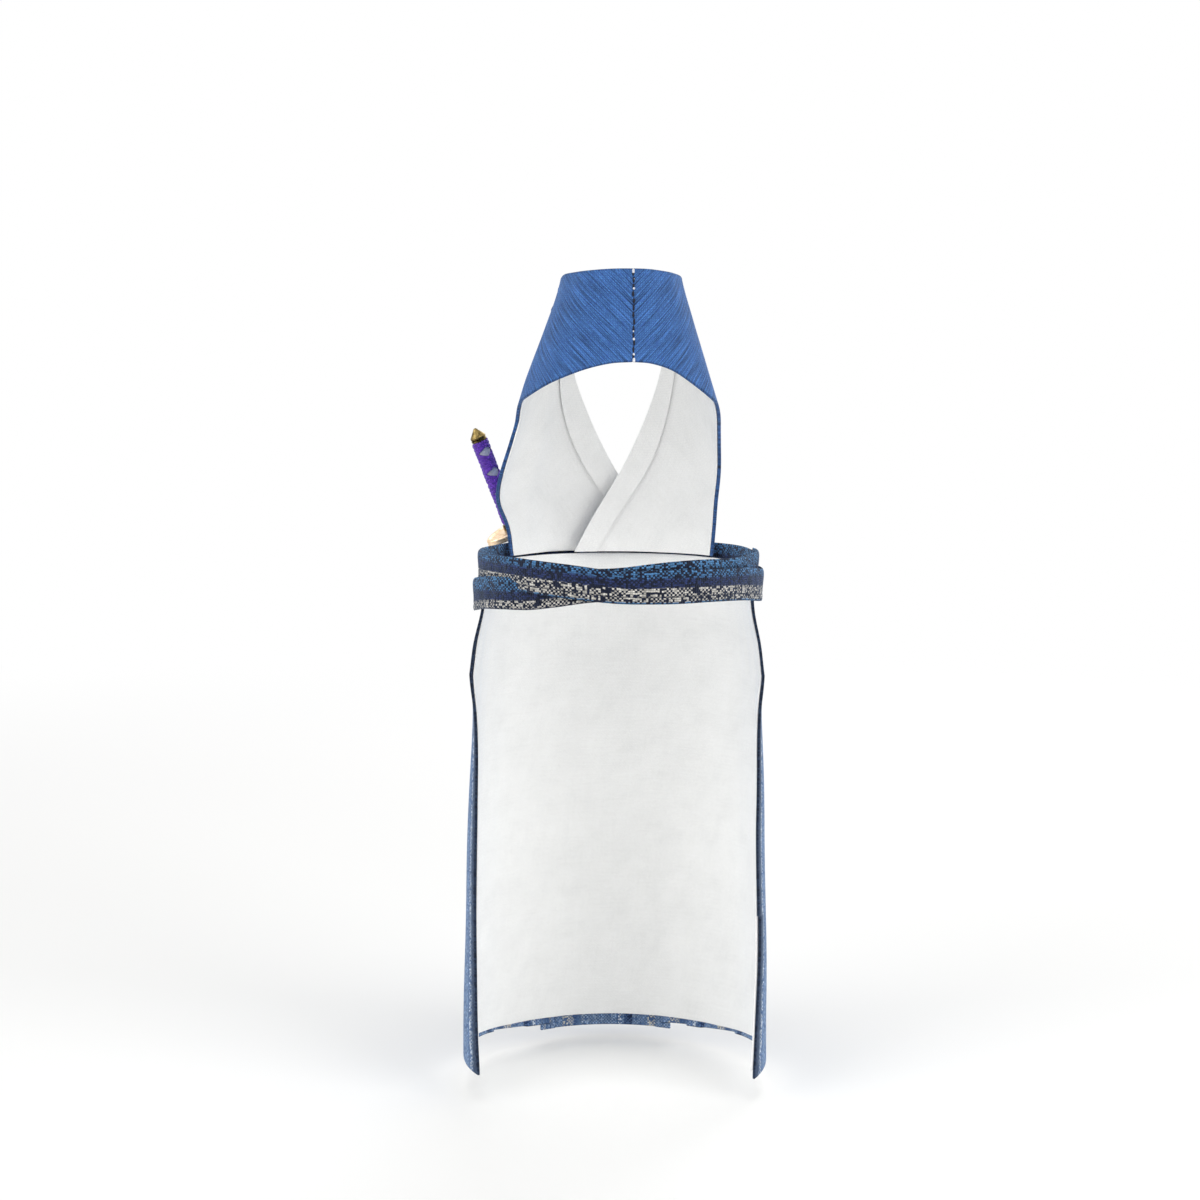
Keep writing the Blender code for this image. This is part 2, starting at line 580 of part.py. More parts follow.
def sword_frame():
    """The sword's place at the guard: local Z runs up to the pommel, and local Y away from the bottle."""
    rise = math.sqrt(1.0 - SWORD_LEAN_SHARE**2 - SWORD_BACK_SHARE**2)
    up = Vector((-SWORD_LEAN_SHARE, -SWORD_BACK_SHARE, rise))
    turn = math.radians(SWORD_BELT_ANGLE)
    outward = Vector((math.sin(turn), math.cos(turn), 0.0))
    belt = outward * float(waistband_radius(SWORD_BELT_ANGLE, BELT_CLOTH + SEAT_GAP + SCABBARD_DEPTH / 2))
    belt.z = -SWORD_BELT_SHARE * COVER_DROP
    outward = (outward - up * outward.dot(up)).normalized()
    across = outward.cross(up)
    axes = Matrix((across, outward, up)).transposed().to_4x4()
    return Matrix.Translation(belt + up * GUARD_ABOVE_BELT) @ axes


def oval_rings(name, rings):
    """A closed solid through oval rings, each a height, a width and a depth, listed from the bottom up."""
    mesh = bmesh.new()
    loops = []
    for height, width, depth in rings:
        turn = np.linspace(0.0, 2.0 * math.pi, OVAL_POINTS, endpoint=False)
        ring = [mesh.verts.new((width / 2 * math.cos(a), depth / 2 * math.sin(a), height)) for a in turn]
        loops.append(ring)
    for low, high in zip(loops, loops[1:]):
        for k in range(OVAL_POINTS):
            n = (k + 1) % OVAL_POINTS
            mesh.faces.new((low[k], low[n], high[n], high[k]))
    mesh.faces.new(loops[0][::-1])
    mesh.faces.new(loops[-1])
    data = bpy.data.meshes.new(name)
    mesh.to_mesh(data)
    mesh.free()
    data.shade_smooth()
    data.set_sharp_from_angle(angle=math.radians(40.0))
    return data


def sword_piece(name, rings, material, parent):
    """A solid of oval rings that rides on the given empty."""
    made = add_object(name, oval_rings(name, rings))
    made.parent = parent
    made.data.materials.append(material)
    return made


def cut(target, cutter):
    """Cuts one solid from another and keeps the cutter as a guide."""
    cutter.hide_render = True
    cutter.display_type = "WIRE"
    step = target.modifiers.new(cutter.name, "BOOLEAN")
    step.operation = "DIFFERENCE"
    step.solver = "EXACT"
    step.object = cutter


def make_cutter(name, data, parent):
    """A cutter that rides on the same empty as what it cuts."""
    made = add_object(name, data, CUTTERS)
    made.parent = parent
    return made


def box_mesh(name, width, depth, bottom, top):
    """A plain box round the local Z axis."""
    mesh = bmesh.new()
    bmesh.ops.create_cube(mesh, size=1.0)
    for vertex in mesh.verts:
        vertex.co.x *= width
        vertex.co.y *= depth
        vertex.co.z = bottom if vertex.co.z < 0.0 else top
    data = bpy.data.meshes.new(name)
    mesh.to_mesh(data)
    mesh.free()
    return data


def make_scabbard(lacquer, horn):
    """The scabbard with its ring at the mouth and its cap at the tip, open along a slot for the blade."""
    parent = bpy.data.objects.new("scabbard_slide", None)
    COVER.objects.link(parent)
    parent.matrix_world = sword_frame()
    mouth = -GUARD_THICKNESS / 2 - SEAT_GAP
    ring_end = mouth - MOUTH_RING_LENGTH
    top = ring_end - SEAT_GAP
    bottom = mouth - SCABBARD_LENGTH
    proud = 2.0 * MOUTH_RING_PROUD
    ring = sword_piece(
        "scabbard_mouth_ring",
        (
            (ring_end, SCABBARD_WIDTH + proud, SCABBARD_DEPTH + proud),
            (mouth - FINE_BEVEL, SCABBARD_WIDTH + proud, SCABBARD_DEPTH + proud),
            (mouth, SCABBARD_WIDTH, SCABBARD_DEPTH),
        ),
        horn,
        parent,
    )
    end = SCABBARD_END_SHARE
    body = sword_piece(
        "scabbard",
        (
            (bottom, SCABBARD_WIDTH * end, SCABBARD_DEPTH * end),
            ((bottom + top) / 2, SCABBARD_WIDTH * (1 + end) / 2, SCABBARD_DEPTH * (1 + end) / 2),
            (top, SCABBARD_WIDTH, SCABBARD_DEPTH),
        ),
        lacquer,
        parent,
    )
    cap_rings = [
        (bottom - SEAT_GAP - TIP_CAP_LENGTH * down, SCABBARD_WIDTH * end * wide, SCABBARD_DEPTH * end * wide)
        for down, wide in TIP_CAP_SHARES
    ]
    sword_piece("scabbard_tip_cap", cap_rings, horn, parent)
    floor = bottom + BLADE_END_GAP / 2
    slot = make_cutter("slot_cutter", box_mesh("slot_cutter", SLOT_WIDTH, SLOT_DEPTH, floor, OVERRUN), parent)
    cut(ring, slot)
    cut(body, slot)
    return parent


def make_sword(brass, steel, skin, silk, gold):
    """What is drawn from the scabbard: blade with its collar, guard, hilt with its wrap, and pommel cap."""
    parent = bpy.data.objects.new("blade_slide", None)
    COVER.objects.link(parent)
    parent.matrix_world = sword_frame()
    low = -GUARD_THICKNESS / 2
    high = GUARD_THICKNESS / 2
    plate = GUARD_RIM + GUARD_DISH
    sword_piece(
        "guard",
        (
            (low, GUARD_WIDTH - 2 * FINE_BEVEL, GUARD_DEPTH - 2 * FINE_BEVEL),
            (low + FINE_BEVEL, GUARD_WIDTH, GUARD_DEPTH),
            (high - FINE_BEVEL, GUARD_WIDTH, GUARD_DEPTH),
            (high, GUARD_WIDTH - 2 * FINE_BEVEL, GUARD_DEPTH - 2 * FINE_BEVEL),
            (high, GUARD_WIDTH - 2 * GUARD_RIM, GUARD_DEPTH - 2 * GUARD_RIM),
            (high - GUARD_DISH, GUARD_WIDTH - 2 * plate, GUARD_DEPTH - 2 * plate),
        ),
        gold,
        parent,
    )
    collar_top = low - SEAT_GAP
    sword_piece(
        "blade_collar",
        (
            (collar_top - BLADE_COLLAR_LENGTH, BLADE_COLLAR_WIDTH, BLADE_COLLAR_DEPTH),
            (collar_top, BLADE_COLLAR_WIDTH, BLADE_COLLAR_DEPTH),
        ),
        brass,
        parent,
    )
    blade_top = collar_top - BLADE_COLLAR_LENGTH - SEAT_GAP
    mouth = low - SEAT_GAP
    blade_end = mouth - SCABBARD_LENGTH + BLADE_END_GAP
    sword_piece(
        "blade",
        (
            (blade_end, BLADE_WIDTH * BLADE_POINT_SHARES[0], BLADE_DEPTH * BLADE_POINT_SHARES[1]),
            (blade_end + BLADE_POINT, BLADE_WIDTH * BLADE_SHOULDER_SHARE, BLADE_DEPTH),
            (blade_top, BLADE_WIDTH, BLADE_DEPTH),
        ),
        steel,
        parent,
    )
    base = high - GUARD_DISH + SEAT_GAP
    wide = HILT_WIDTH + 2 * HILT_COLLAR_PROUD
    deep = HILT_DEPTH + 2 * HILT_COLLAR_PROUD
    sword_piece(
        "hilt_collar",
        (
            (base, wide, deep),
            (base + HILT_COLLAR_LENGTH - FINE_BEVEL, wide, deep),
            (base + HILT_COLLAR_LENGTH, wide - 2 * FINE_BEVEL, deep - 2 * FINE_BEVEL),
        ),
        brass,
        parent,
    )
    hilt_low = base + HILT_COLLAR_LENGTH + SEAT_GAP
    hilt_high = hilt_low + HILT_LENGTH
    core_wide = HILT_WIDTH - 2 * (WRAP_CLOTH + SEAT_GAP)
    core_deep = HILT_DEPTH - 2 * (WRAP_CLOTH + SEAT_GAP)
    core_rings = ((hilt_low, core_wide, core_deep), (hilt_high, core_wide, core_deep))
    sword_piece("hilt_core", core_rings, skin, parent)
    wrap_rings = ((hilt_low, HILT_WIDTH, HILT_DEPTH), (hilt_high, HILT_WIDTH, HILT_DEPTH))
    wrap = sword_piece("hilt_wrap", wrap_rings, silk, parent)
    bore_wide = HILT_WIDTH - 2 * WRAP_CLOTH
    bore_deep = HILT_DEPTH - 2 * WRAP_CLOTH
    bore_rings = ((hilt_low - OVERRUN, bore_wide, bore_deep), (hilt_high + OVERRUN, bore_wide, bore_deep))
    cut(wrap, make_cutter("wrap_bore_cutter", oval_rings("wrap_bore_cutter", bore_rings), parent))
    for k in range(WINDOW_COUNT):
        middle = hilt_low + HILT_LENGTH * (k + 0.5) / WINDOW_COUNT
        cut(wrap, make_cutter(f"window_cutter_{k}", window_mesh(f"window_cutter_{k}", middle), parent))
    pommel_low = hilt_high + SEAT_GAP
    groove = POMMEL_WIDTH - 2 * POMMEL_GROOVE
    deep_share = HILT_DEPTH / HILT_WIDTH
    mid = pommel_low + POMMEL_BASE_LENGTH / 2
    pommel_top = pommel_low + POMMEL_BASE_LENGTH
    cap = sword_piece(
        "pommel_cap",
        (
            (pommel_low, POMMEL_WIDTH, POMMEL_WIDTH * deep_share),
            (mid - FINE_BEVEL, POMMEL_WIDTH, POMMEL_WIDTH * deep_share),
            (mid, groove, groove * deep_share),
            (mid + FINE_BEVEL, POMMEL_WIDTH, POMMEL_WIDTH * deep_share),
            (pommel_top, POMMEL_WIDTH, POMMEL_WIDTH * deep_share),
        ),
        brass,
        parent,
    )
    add_facets(cap, pommel_top, deep_share)
    return parent


def window_mesh(name, middle):
    """A diamond prism through the hilt from face to face, which opens two windows in the wrap."""
    half = HILT_WIDTH * WINDOW_WIDTH_SHARE / 2
    tall = WINDOW_LENGTH / 2
    reach = HILT_DEPTH
    mesh = bmesh.new()
    bmesh.ops.create_cone(mesh, cap_ends=True, segments=4, radius1=1.0, radius2=1.0, depth=2.0)
    for vertex in mesh.verts:
        x, y, z = vertex.co
        vertex.co = (x * half, -z * reach, middle + y * tall)
    data = bpy.data.meshes.new(name)
    mesh.to_mesh(data)
    mesh.free()
    return data


def add_facets(cap, height, deep_share):
    """Replaces the cap's flat top by a pyramid with a few flat facets, cut off to a small table."""
    mesh = bmesh.new()
    mesh.from_mesh(cap.data)
    top = max(mesh.faces, key=lambda f: f.calc_center_median().z)
    raised = bmesh.ops.extrude_discrete_faces(mesh, faces=[top])["faces"][0]
    for vertex in raised.verts:
        turn = math.atan2(vertex.co.y / deep_share, vertex.co.x)
        step = 2.0 * math.pi / POMMEL_FACETS
        snapped = round(turn / step) * step
        reach = POMMEL_WIDTH * POMMEL_TABLE_SHARE
        vertex.co.x = reach * math.cos(snapped)
        vertex.co.y = reach * math.sin(snapped) * deep_share
        vertex.co.z = height + POMMEL_TIP_LENGTH
    bmesh.ops.remove_doubles(mesh, verts=mesh.verts, dist=MERGE)
    bmesh.ops.recalc_face_normals(mesh, faces=mesh.faces)
    mesh.to_mesh(cap.data)
    mesh.free()


clear_scene()
COVER = make_collection("bottle_cover")
CUTTERS = make_collection("cutters")
BLUE = make_material("blue slub cloth", (0.032, 0.095, 0.310), 0.85)
WHITE = make_material("white lining cotton", (0.86, 0.87, 0.84), 0.80)
STRIPE = make_material("striped blue cloth", (0.060, 0.110, 0.230), 0.88)
BELT = make_material("striped belt cloth", (0.050, 0.080, 0.190), 0.90)
THREAD = make_material("white thread", (0.80, 0.80, 0.82), 0.70)
BRASS = make_material("aged brass", (0.34, 0.24, 0.11), 0.35, 1.0)
GOLD = make_material("light gold plate", (0.83, 0.60, 0.36), 0.35, 1.0)
STEEL = make_material("blade steel", (0.60, 0.61, 0.62), 0.25, 1.0)
SKIN = make_material("pale ray skin", (0.62, 0.62, 0.70), 0.60)
SILK = make_material("purple hilt cord", (0.110, 0.025, 0.330), 0.70)
LACQUER = make_material("black lacquer", (0.012, 0.012, 0.014), 0.18)
HORN = make_material("dark horn", (0.030, 0.026, 0.022), 0.30)

for half, name_of_half in ((-1, "left"), (1, "right")):
    make_jacket(half, name_of_half, BLUE, WHITE)
    make_side_panel(half, name_of_half, STRIPE)
    make_tie_end(name_of_half, half, BELT)
make_seam_stitches(THREAD)
make_centre_pleat(STRIPE)
make_skirt_lining(WHITE)
make_waistband(BELT)
make_tie("a", 1, TIE_A_ANGLES, TIE_A_DROP_SHARES, TIE_A_REACH_SHARES, TIE_A_WIDTH_SHARES, BELT)
make_tie("b", -1, TIE_B_ANGLES, TIE_B_DROP_SHARES, TIE_B_REACH_SHARES, TIE_B_WIDTH_SHARES, BELT)
make_knot(BELT)
make_scabbard(LACQUER, HORN)
make_sword(BRASS, STEEL, SKIN, SILK, GOLD)
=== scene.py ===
"""Looks of a cloth cover in the form of a warrior's dress.

Each cloth piece is one surface worked out from its cut: it has its real layers, folded edges, woven threads and
stripes at their true spacing. The small sword is made in its own frame and then put at the belt.
The frame is the CAD one: Z is the cover's axis, +Y the wearer's front and -X the wearer's left. Lengths are in
metres, and each piece carries a UV map in millimetres of its own cloth.
"""
import functools
import math

import bmesh
import bpy
import numpy as np
from mathutils import Matrix, Vector


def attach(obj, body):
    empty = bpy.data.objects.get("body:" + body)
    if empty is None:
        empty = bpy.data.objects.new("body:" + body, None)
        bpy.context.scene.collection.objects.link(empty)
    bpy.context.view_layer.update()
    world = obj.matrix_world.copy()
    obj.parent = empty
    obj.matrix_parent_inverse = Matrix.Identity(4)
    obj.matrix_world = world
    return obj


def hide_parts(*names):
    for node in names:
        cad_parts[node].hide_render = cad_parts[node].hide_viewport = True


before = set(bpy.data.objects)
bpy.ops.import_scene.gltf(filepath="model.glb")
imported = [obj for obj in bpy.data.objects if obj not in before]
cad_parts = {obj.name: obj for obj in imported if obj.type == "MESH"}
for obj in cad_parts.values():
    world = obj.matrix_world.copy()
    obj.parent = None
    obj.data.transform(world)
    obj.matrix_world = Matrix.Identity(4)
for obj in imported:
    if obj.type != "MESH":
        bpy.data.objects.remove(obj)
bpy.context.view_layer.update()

# The cover's sizes are the CAD source's. The flare, the hem's rise and some places of the neckline's and the
# skirt's tables are this scene's own, because they follow the picture more closely.
BOTTLE_RADIUS = 0.039
NECK_RADIUS = 0.0155
COVER_DROP = 0.236
CLOTH = 0.0005
LINING = 0.0004
LAYER_GAP = 0.00035
WEAR_GAP = 0.0010
COLLAR_TWIST = 12.0
ARCH_TWIST = 8.6
BOTTLE_DROP = (-0.02, 0.10, 0.161, 0.189, 0.246, 0.294, 0.339, 0.373, 0.449, 0.53, 1.0)
BOTTLE_REACH = (0.397, 0.397, 0.554, 0.636, 0.733, 0.846, 0.910, 0.946, 0.992, 1.0, 1.0)
SIDE_DROP = (-0.02, 0.0, 0.05, 0.10, 0.1525, 0.203, 0.258, 0.305, 0.36, 0.42)
SIDE_REACH = (0.410, 0.421, 0.507, 0.604, 0.704, 0.799, 0.897, 0.947, 0.985, 1.0)
FLARE_DROP = (-0.02, 0.035, 0.058, 0.08, 0.104, 0.127, 0.15, 0.178, 0.243, 0.283, 0.305, 0.325)
LEFT_FLARE = (-0.55, -0.60, -0.30, -0.05, 0.30, 0.60, 0.55, 0.40, 0.75, 1.00, 0.50, 0.0)
BACK_DROP = (-0.02, 0.0, 0.10, 0.16, 0.42)
BACK_REACH = (1.085, 1.10, 1.19, 1.45, 2.2)
NECK_ANGLES = (180.0, 166.0, 150.0, 125.0, 102.0, 86.0, 70.0, 50.0, 28.0, 8.0, -8.0, -17.0)
NECK_DROPS = (-0.0078, -0.0076, -0.0064, -0.0036, -0.0006, 0.0042, 0.0185, 0.060, 0.146, 0.235, 0.305, 0.352)
LEFT_ANGLES = (180.0, 166.0, 150.0, 132.0, 110.0, 92.0, 80.0, 78.5, 78.0, 74.0, 62.0, 56.0)
LEFT_DROPS = (0.1025, 0.1045, 0.1125, 0.126, 0.145, 0.158, 0.179, 0.205, 0.245, 0.275, 0.312, 0.352)
RIGHT_ANGLES = (180.0, 166.0, 150.0, 132.0, 110.0, 92.0, 78.0, 69.0, 60.0, 54.5, 51.0, 48.0)
RIGHT_DROPS = (0.1025, 0.1045, 0.1125, 0.129, 0.148, 0.158, 0.179, 0.205, 0.245, 0.278, 0.315, 0.352)
SKIRT_DROP = (0.3565, 0.41, 0.455, 0.487, 0.494, 0.501, 0.54, 0.65, 0.85, 1.0)
SKIRT_SIDE = (0.975, 0.993, 1.039, 1.0595, 1.064, 1.0648, 1.069, 1.092, 1.122, 1.136)
SKIRT_FRONT = (1.018, 1.020, 1.022, 1.0245, 1.025, 1.0258, 1.030, 1.046, 1.080, 1.105)
LEFT_SKIRT_EDGE = (93.0, 92.0, 90.5, 90.1, 90.0, 90.9, 96.0, 104.0, 109.2, 116.5)
RIGHT_SKIRT_EDGE = (93.0, 92.0, 90.5, 90.1, 90.0, 90.9, 96.0, 103.0, 106.8, 115.5)
SKIRT_TURN = (0.0, 0.24, 0.72, 0.868, 0.90, 0.654, -0.72, -1.2, -1.2, -1.2)
PLEAT_FOLDS = (36.0, 62.0)
PLEAT_DEPTH = 0.0011
PLEAT_TUCK = 5.0
CENTRE_LEFT = -29.5
CENTRE_RIGHT = 22.1
HEM_RISE = 0.0022
HEM_ANGLES = (20.0, 35.0, 80.0, 93.0)
LEFT_HEM = (0.0022, 0.0025, 0.0054, 0.0043)
RIGHT_HEM = (0.0022, 0.0025, 0.0049, 0.0032)
BELT_WIDTH = 0.0094
BELT_CLOTH = 0.0009
BELT_TOP = 0.338
STEP_PLACE = 0.671
STEP_RUN = 0.004
# Half a millimetre and less: the inner collar's thickness, what a turned border adds to each face of the cloth,
# the gap between the belt's layers and the room that the skirt's pleats take.
INNER_COLLAR = 0.0003
TURNED_IN = 0.00024
BELT_GAP = 0.0003
PLEAT_ROOM = 0.0006
# Millimetres after which the stripes of the skirt and of the belt come again.
SKIRT_REPEAT = 24.0
BELT_REPEAT = 12.0
SIDES = ((-1, "left"), (1, "right"))


# Finishes.


def linear(text, share=1.0):
    """An sRGB hex colour as linear red, green, blue and alpha: ((c + 0.055) / 1.055) to the power 2.4."""
    parts = [int(text[i : i + 2], 16) / 255 for i in (1, 3, 5)]
    return (*[share * (c / 12.92 if c <= 0.04045 else ((c + 0.055) / 1.055) ** 2.4) for c in parts], 1.0)


def add(tree, kind, inputs=(), take=0, ramp=(), into=None, **settings):
    """Adds one node with its settings, its inputs as values or links and a ramp's stops, and gives an output.

    A stop is its place, its hex colour and, where it is darker, the share of that colour. Into is another
    node's input that the output goes to.
    """
    made = tree.nodes.new("ShaderNode" + kind)
    for key, value in settings.items():
        setattr(made, key, value)
    for key, value in inputs.items() if isinstance(inputs, dict) else enumerate(inputs):
        if isinstance(value, bpy.types.NodeSocket):
            tree.links.new(value, made.inputs[key])
        else:
            made.inputs[key].default_value = value
    for k, (place, *colour) in enumerate(ramp):
        stops = made.color_ramp.elements
        stop = stops[k] if k < 2 else stops.new(place)
        stop.position = place
        stop.color = linear(*colour)
    if into is not None:
        tree.links.new(made.outputs[take], into)
    return made.outputs if take is None else made.outputs[take]


def new_finish(name, rough, specular=0.5, sheen=0.0, coat=0.0, metallic=0.0):
    """A material with its shader's plain values: it gives the material, what adds its nodes, and its shader.

    Where it has a sheen, that is a little blue, as the fuzz of the dyed yarn is.
    """
    made = bpy.data.materials.new(name)
    made.use_nodes = True
    shader = made.node_tree.nodes["Principled BSDF"]
    values = {
        "Roughness": rough, "Specular IOR Level": specular, "Metallic": metallic, "Coat Weight": coat,
        "Coat Roughness": 0.08, "Sheen Weight": sheen, "Sheen Roughness": 0.45, "Sheen Tint": linear("#C4DBFF"),
    }
    for socket, value in values.items():
        shader.inputs[socket].default_value = value
    return made, functools.partial(add, made.node_tree), shader


def woven(
    name, weft, warp, pitch, depth, spots, strays, slub, relief,
    cross=0.10, repeat=1.0, bias=0.0, rough=0.88, edge=0.0, loose=1.9,
):
    """Plain weave seen thread by thread, from the UV map in millimetres.

    Along U runs the warp, of one dye or of stripes across V that repeat, and the weft crosses it. Pitch is the
    spacing of the threads. With i and j the whole numbers of threads, warp lies on top where i + j is odd, but
    for a share of strays. A thread's height is the sine across it times a slower sine along it, and its low
    places get painted shade by the share depth, as the hollows between threads would be in shadow; every
    visible spot of thread has its own lightness, by the share spots. The coordinate wanders by the share loose
    of a thread. Slub and cross are long noise along either set of threads, and a cut on the bias turns it all.
    Turned edges, which the mesh marks, get painted shade by the share edge, as folds that lie in shadow.
    """
    made, node, shader = new_finish(name, rough, specular=0.25, sheen=0.35)
    uv = node("UVMap")
    uv = node("Mapping", {"Vector": uv, "Rotation": (0.0, 0.0, math.radians(bias))})
    wander = node("TexNoise", {"Vector": uv, "Scale": 0.35 / pitch, "Detail": 2.0}, take=1)
    wander = node("VectorMath", (wander, (0.5, 0.5, 0.5)), operation="SUBTRACT")
    wander = node("VectorMath", {0: wander, "Scale": loose * pitch}, operation="SCALE")
    parts = node("SeparateXYZ", (node("VectorMath", (uv, wander), operation="ADD"),), take=None)
    numbers, rounds, slow = [], [], []
    for part, spacing in ((parts[0], 1.15 * pitch), (parts[1], pitch)):
        place = node("Math", (part, spacing), operation="DIVIDE")
        numbers.append(node("Math", (place,), operation="FLOOR"))
        place = node("Math", (place,), operation="FRACT")
        place = node("Math", (place, math.pi), operation="MULTIPLY")
        rounds.append(node("Math", (place,), operation="SINE"))
        slow.append(node("Math", (rounds[-1], 0.55, 0.45), operation="MULTIPLY_ADD"))
    cell = node("CombineXYZ", numbers)
    chance = node("TexWhiteNoise", {"Vector": cell}, take=None, noise_dimensions="2D")
    spot = node("SeparateColor", (chance[1],), take=None)
    odd = node("Math", (node("Math", numbers, operation="ADD"), 2.0), operation="FLOORED_MODULO")
    stray = node("Math", (spot[0], strays), operation="LESS_THAN")
    on_top = node("Math", (odd, stray), operation="SUBTRACT")
    on_top = node("Math", (on_top,), operation="ABSOLUTE")
    warp_high = node("Math", (slow[0], rounds[1]), operation="MULTIPLY")
    weft_high = node("Math", (slow[1], rounds[0]), operation="MULTIPLY")
    height = node("Mix", {0: on_top, 2: weft_high, 3: warp_high})
    stripe = node("Math", (parts[1], repeat), operation="DIVIDE")
    stripe = node("Math", (stripe,), operation="FRACT")
    dyed = linear(warp) if isinstance(warp, str) else node("ValToRGB", (stripe,), ramp=warp)
    yarn = node("Mix", {0: on_top, 6: linear(weft), 7: dyed}, take=2, data_type="RGBA")
    # Slubs: yarn that is thicker and lighter for a stretch of about twelve millimetres.
    long_way = node("Mapping", {"Vector": uv, "Scale": (0.03, 1.0, 1.0)})
    long_way = node("TexNoise", {"Vector": long_way, "Scale": 2.8, "Detail": 1.0, "Roughness": 0.5})
    cross_way = node("Mapping", {"Vector": uv, "Scale": (1.0, 0.10, 1.0)})
    cross_way = node("TexNoise", {"Vector": cross_way, "Scale": 1.1, "Detail": 3.0})
    broad = node("TexNoise", {"Vector": uv, "Scale": 0.11, "Detail": 3.0})
    # Painted shade: the low places of the weave, between and under the threads, are darker by the share depth.
    shade = node("Math", (height, depth, 1.0 - 0.51 * depth), operation="MULTIPLY_ADD")
    # Painted shade on turned and folded edges, as they would lie in shadow, by the share edge.
    turned = node("Attribute", take="Fac", attribute_name="painted_edge_shade")
    for value, share, middle in (
        (spot[1], spots, 0.5), (long_way, 4.0 * slub, 0.5), (cross_way, 4.0 * cross, 0.5), (broad, 0.15, 0.5),
        (turned, -edge, 0.0),
    ):
        even = node("Math", (value, share, 1.0 - share * middle), operation="MULTIPLY_ADD")
        shade = node("Math", (shade, even), operation="MULTIPLY")
    node("VectorMath", {0: yarn, "Scale": shade}, into=shader.inputs["Base Color"], operation="SCALE")
    lift = node("Math", (long_way, 4.0 * slub, height), operation="MULTIPLY_ADD")
    node("Bump", {"Height": lift, "Distance": relief, "Strength": 0.9}, into=shader.inputs["Normal"])
    return made


def metal(name, light, dark, rough, grain, relief=0.00005):
    """Cast or plated metal in patches: noise with its grain in millimetres mixes a darker and a lighter colour.
    """
    made, node, shader = new_finish(name, rough, metallic=1.0)
    place = node("TexCoord", take="Object")
    patch = node("TexNoise", {"Vector": place, "Scale": 1000.0 / grain, "Detail": 4.0, "Roughness": 0.6})
    node("ValToRGB", (patch,), ramp=((0.36, dark), (0.62, light)), into=shader.inputs["Base Color"])
    node("Math", (patch, -0.25, rough + 0.12), into=shader.inputs["Roughness"], operation="MULTIPLY_ADD")
    node("Bump", {"Height": patch, "Distance": relief, "Strength": 0.6}, into=shader.inputs["Normal"])
    return made


def coated(name, colour, rough, grain, relief, coat=0.0, sheen=0.0):
    """Lacquer, horn, ray skin or thread: one colour that varies a little, with a fine grain in millimetres."""
    made, node, shader = new_finish(name, rough, sheen=sheen, coat=coat)
    place = node("TexCoord", take="Object")
    patch = node("TexNoise", {"Vector": place, "Scale": 1000.0 / grain, "Detail": 3.0})
    stops = ((0.30, colour, 0.72), (0.70, colour))
    node("ValToRGB", (patch,), ramp=stops, into=shader.inputs["Base Color"])
    node("Bump", {"Height": patch, "Distance": relief, "Strength": 0.5}, into=shader.inputs["Normal"])
    return made


# Shapes.


def table(at, places, values):
    """A smooth curve through the table: cubic pieces whose slopes are the mean of their neighbours'."""
    x = np.asarray(places, float)
    y = np.asarray(values, float)
    flat = np.diff(y) / np.diff(x)
    slope = np.concatenate([flat[:1], (flat[1:] + flat[:-1]) / 2, flat[-1:]])
    at = np.clip(np.asarray(at, float), x[0], x[-1])
    i = np.clip(np.searchsorted(x, at, side="right") - 1, 0, len(x) - 2)
    wide = x[i + 1] - x[i]
    t = (at - x[i]) / wide
    first = y[i] * (1 + 2 * t) * (1 - t) ** 2 + slope[i] * wide * t * (1 - t) ** 2
    return first + y[i + 1] * t * t * (3 - 2 * t) + slope[i + 1] * wide * t * t * (t - 1)


def one_turn(count):
    """Angles of so many points round a circle."""
    return np.linspace(0.0, 2.0 * math.pi, count, endpoint=False)


def ease(t):
    """A smooth step from 0 to 1: 3 t squared minus 2 t cubed."""
    t = np.clip(t, 0.0, 1.0)
    return t * t * (3.0 - 2.0 * t)


def stacked(*parts):
    """Coordinates as points, each spread over the whole grid."""
    return np.stack(np.broadcast_arrays(*parts), axis=-1)


def ring_point(angle, drop, side, front, back, offset):
    """A point of a ring that is half an oval in front and half an oval behind, pushed out by the offset."""
    turn = np.radians(angle)
    depth = np.where(np.cos(turn) > 0.0, front, back)
    x = (side + offset) * np.sin(turn)
    y = (depth + offset) * np.cos(turn)
    return stacked(x, y, -drop * COVER_DROP)


def on_jacket(angle, drop, offset):
    """A point of the jacket, from its side reach, its front reach and its back reach at that drop.

    The left side flares by its own table, in millimetres, times the square of the angle's sine.
    """
    flare = table(drop, FLARE_DROP, LEFT_FLARE) / 1000.0 * np.clip(-np.sin(np.radians(angle)), 0.0, 1.0) ** 2
    side = BOTTLE_RADIUS * table(drop, SIDE_DROP, SIDE_REACH) + flare
    front = BOTTLE_RADIUS * table(drop, BOTTLE_DROP, BOTTLE_REACH) + WEAR_GAP
    back = NECK_RADIUS * table(drop, BACK_DROP, BACK_REACH)
    return ring_point(angle, drop, side, front, back, offset)


def skirt_edge(drop, side):
    """Angle from the front of the skirt's edge, left where side is negative."""
    return table(drop, SKIRT_DROP, LEFT_SKIRT_EDGE if side < 0 else RIGHT_SKIRT_EDGE)


def on_skirt(angle, drop, offset):
    """A point of the skirt, whose side edges turn out at the knee and in further down."""
    side = BOTTLE_RADIUS * table(drop, SKIRT_DROP, SKIRT_SIDE)
    front = BOTTLE_RADIUS * table(drop, SKIRT_DROP, SKIRT_FRONT)
    edge = np.where(angle < 0.0, skirt_edge(drop, -1), skirt_edge(drop, 1))
    near = np.clip((np.abs(angle) - edge + 16.0) / 16.0, 0.0, 1.0)
    turn = table(drop, SKIRT_DROP, SKIRT_TURN) * near * near / 1000.0
    return ring_point(angle, drop, side, front, side, offset + turn)


def unit(vectors):
    """Vectors of length one."""
    return vectors / np.maximum(np.linalg.norm(vectors, axis=-1, keepdims=True), 1e-12)


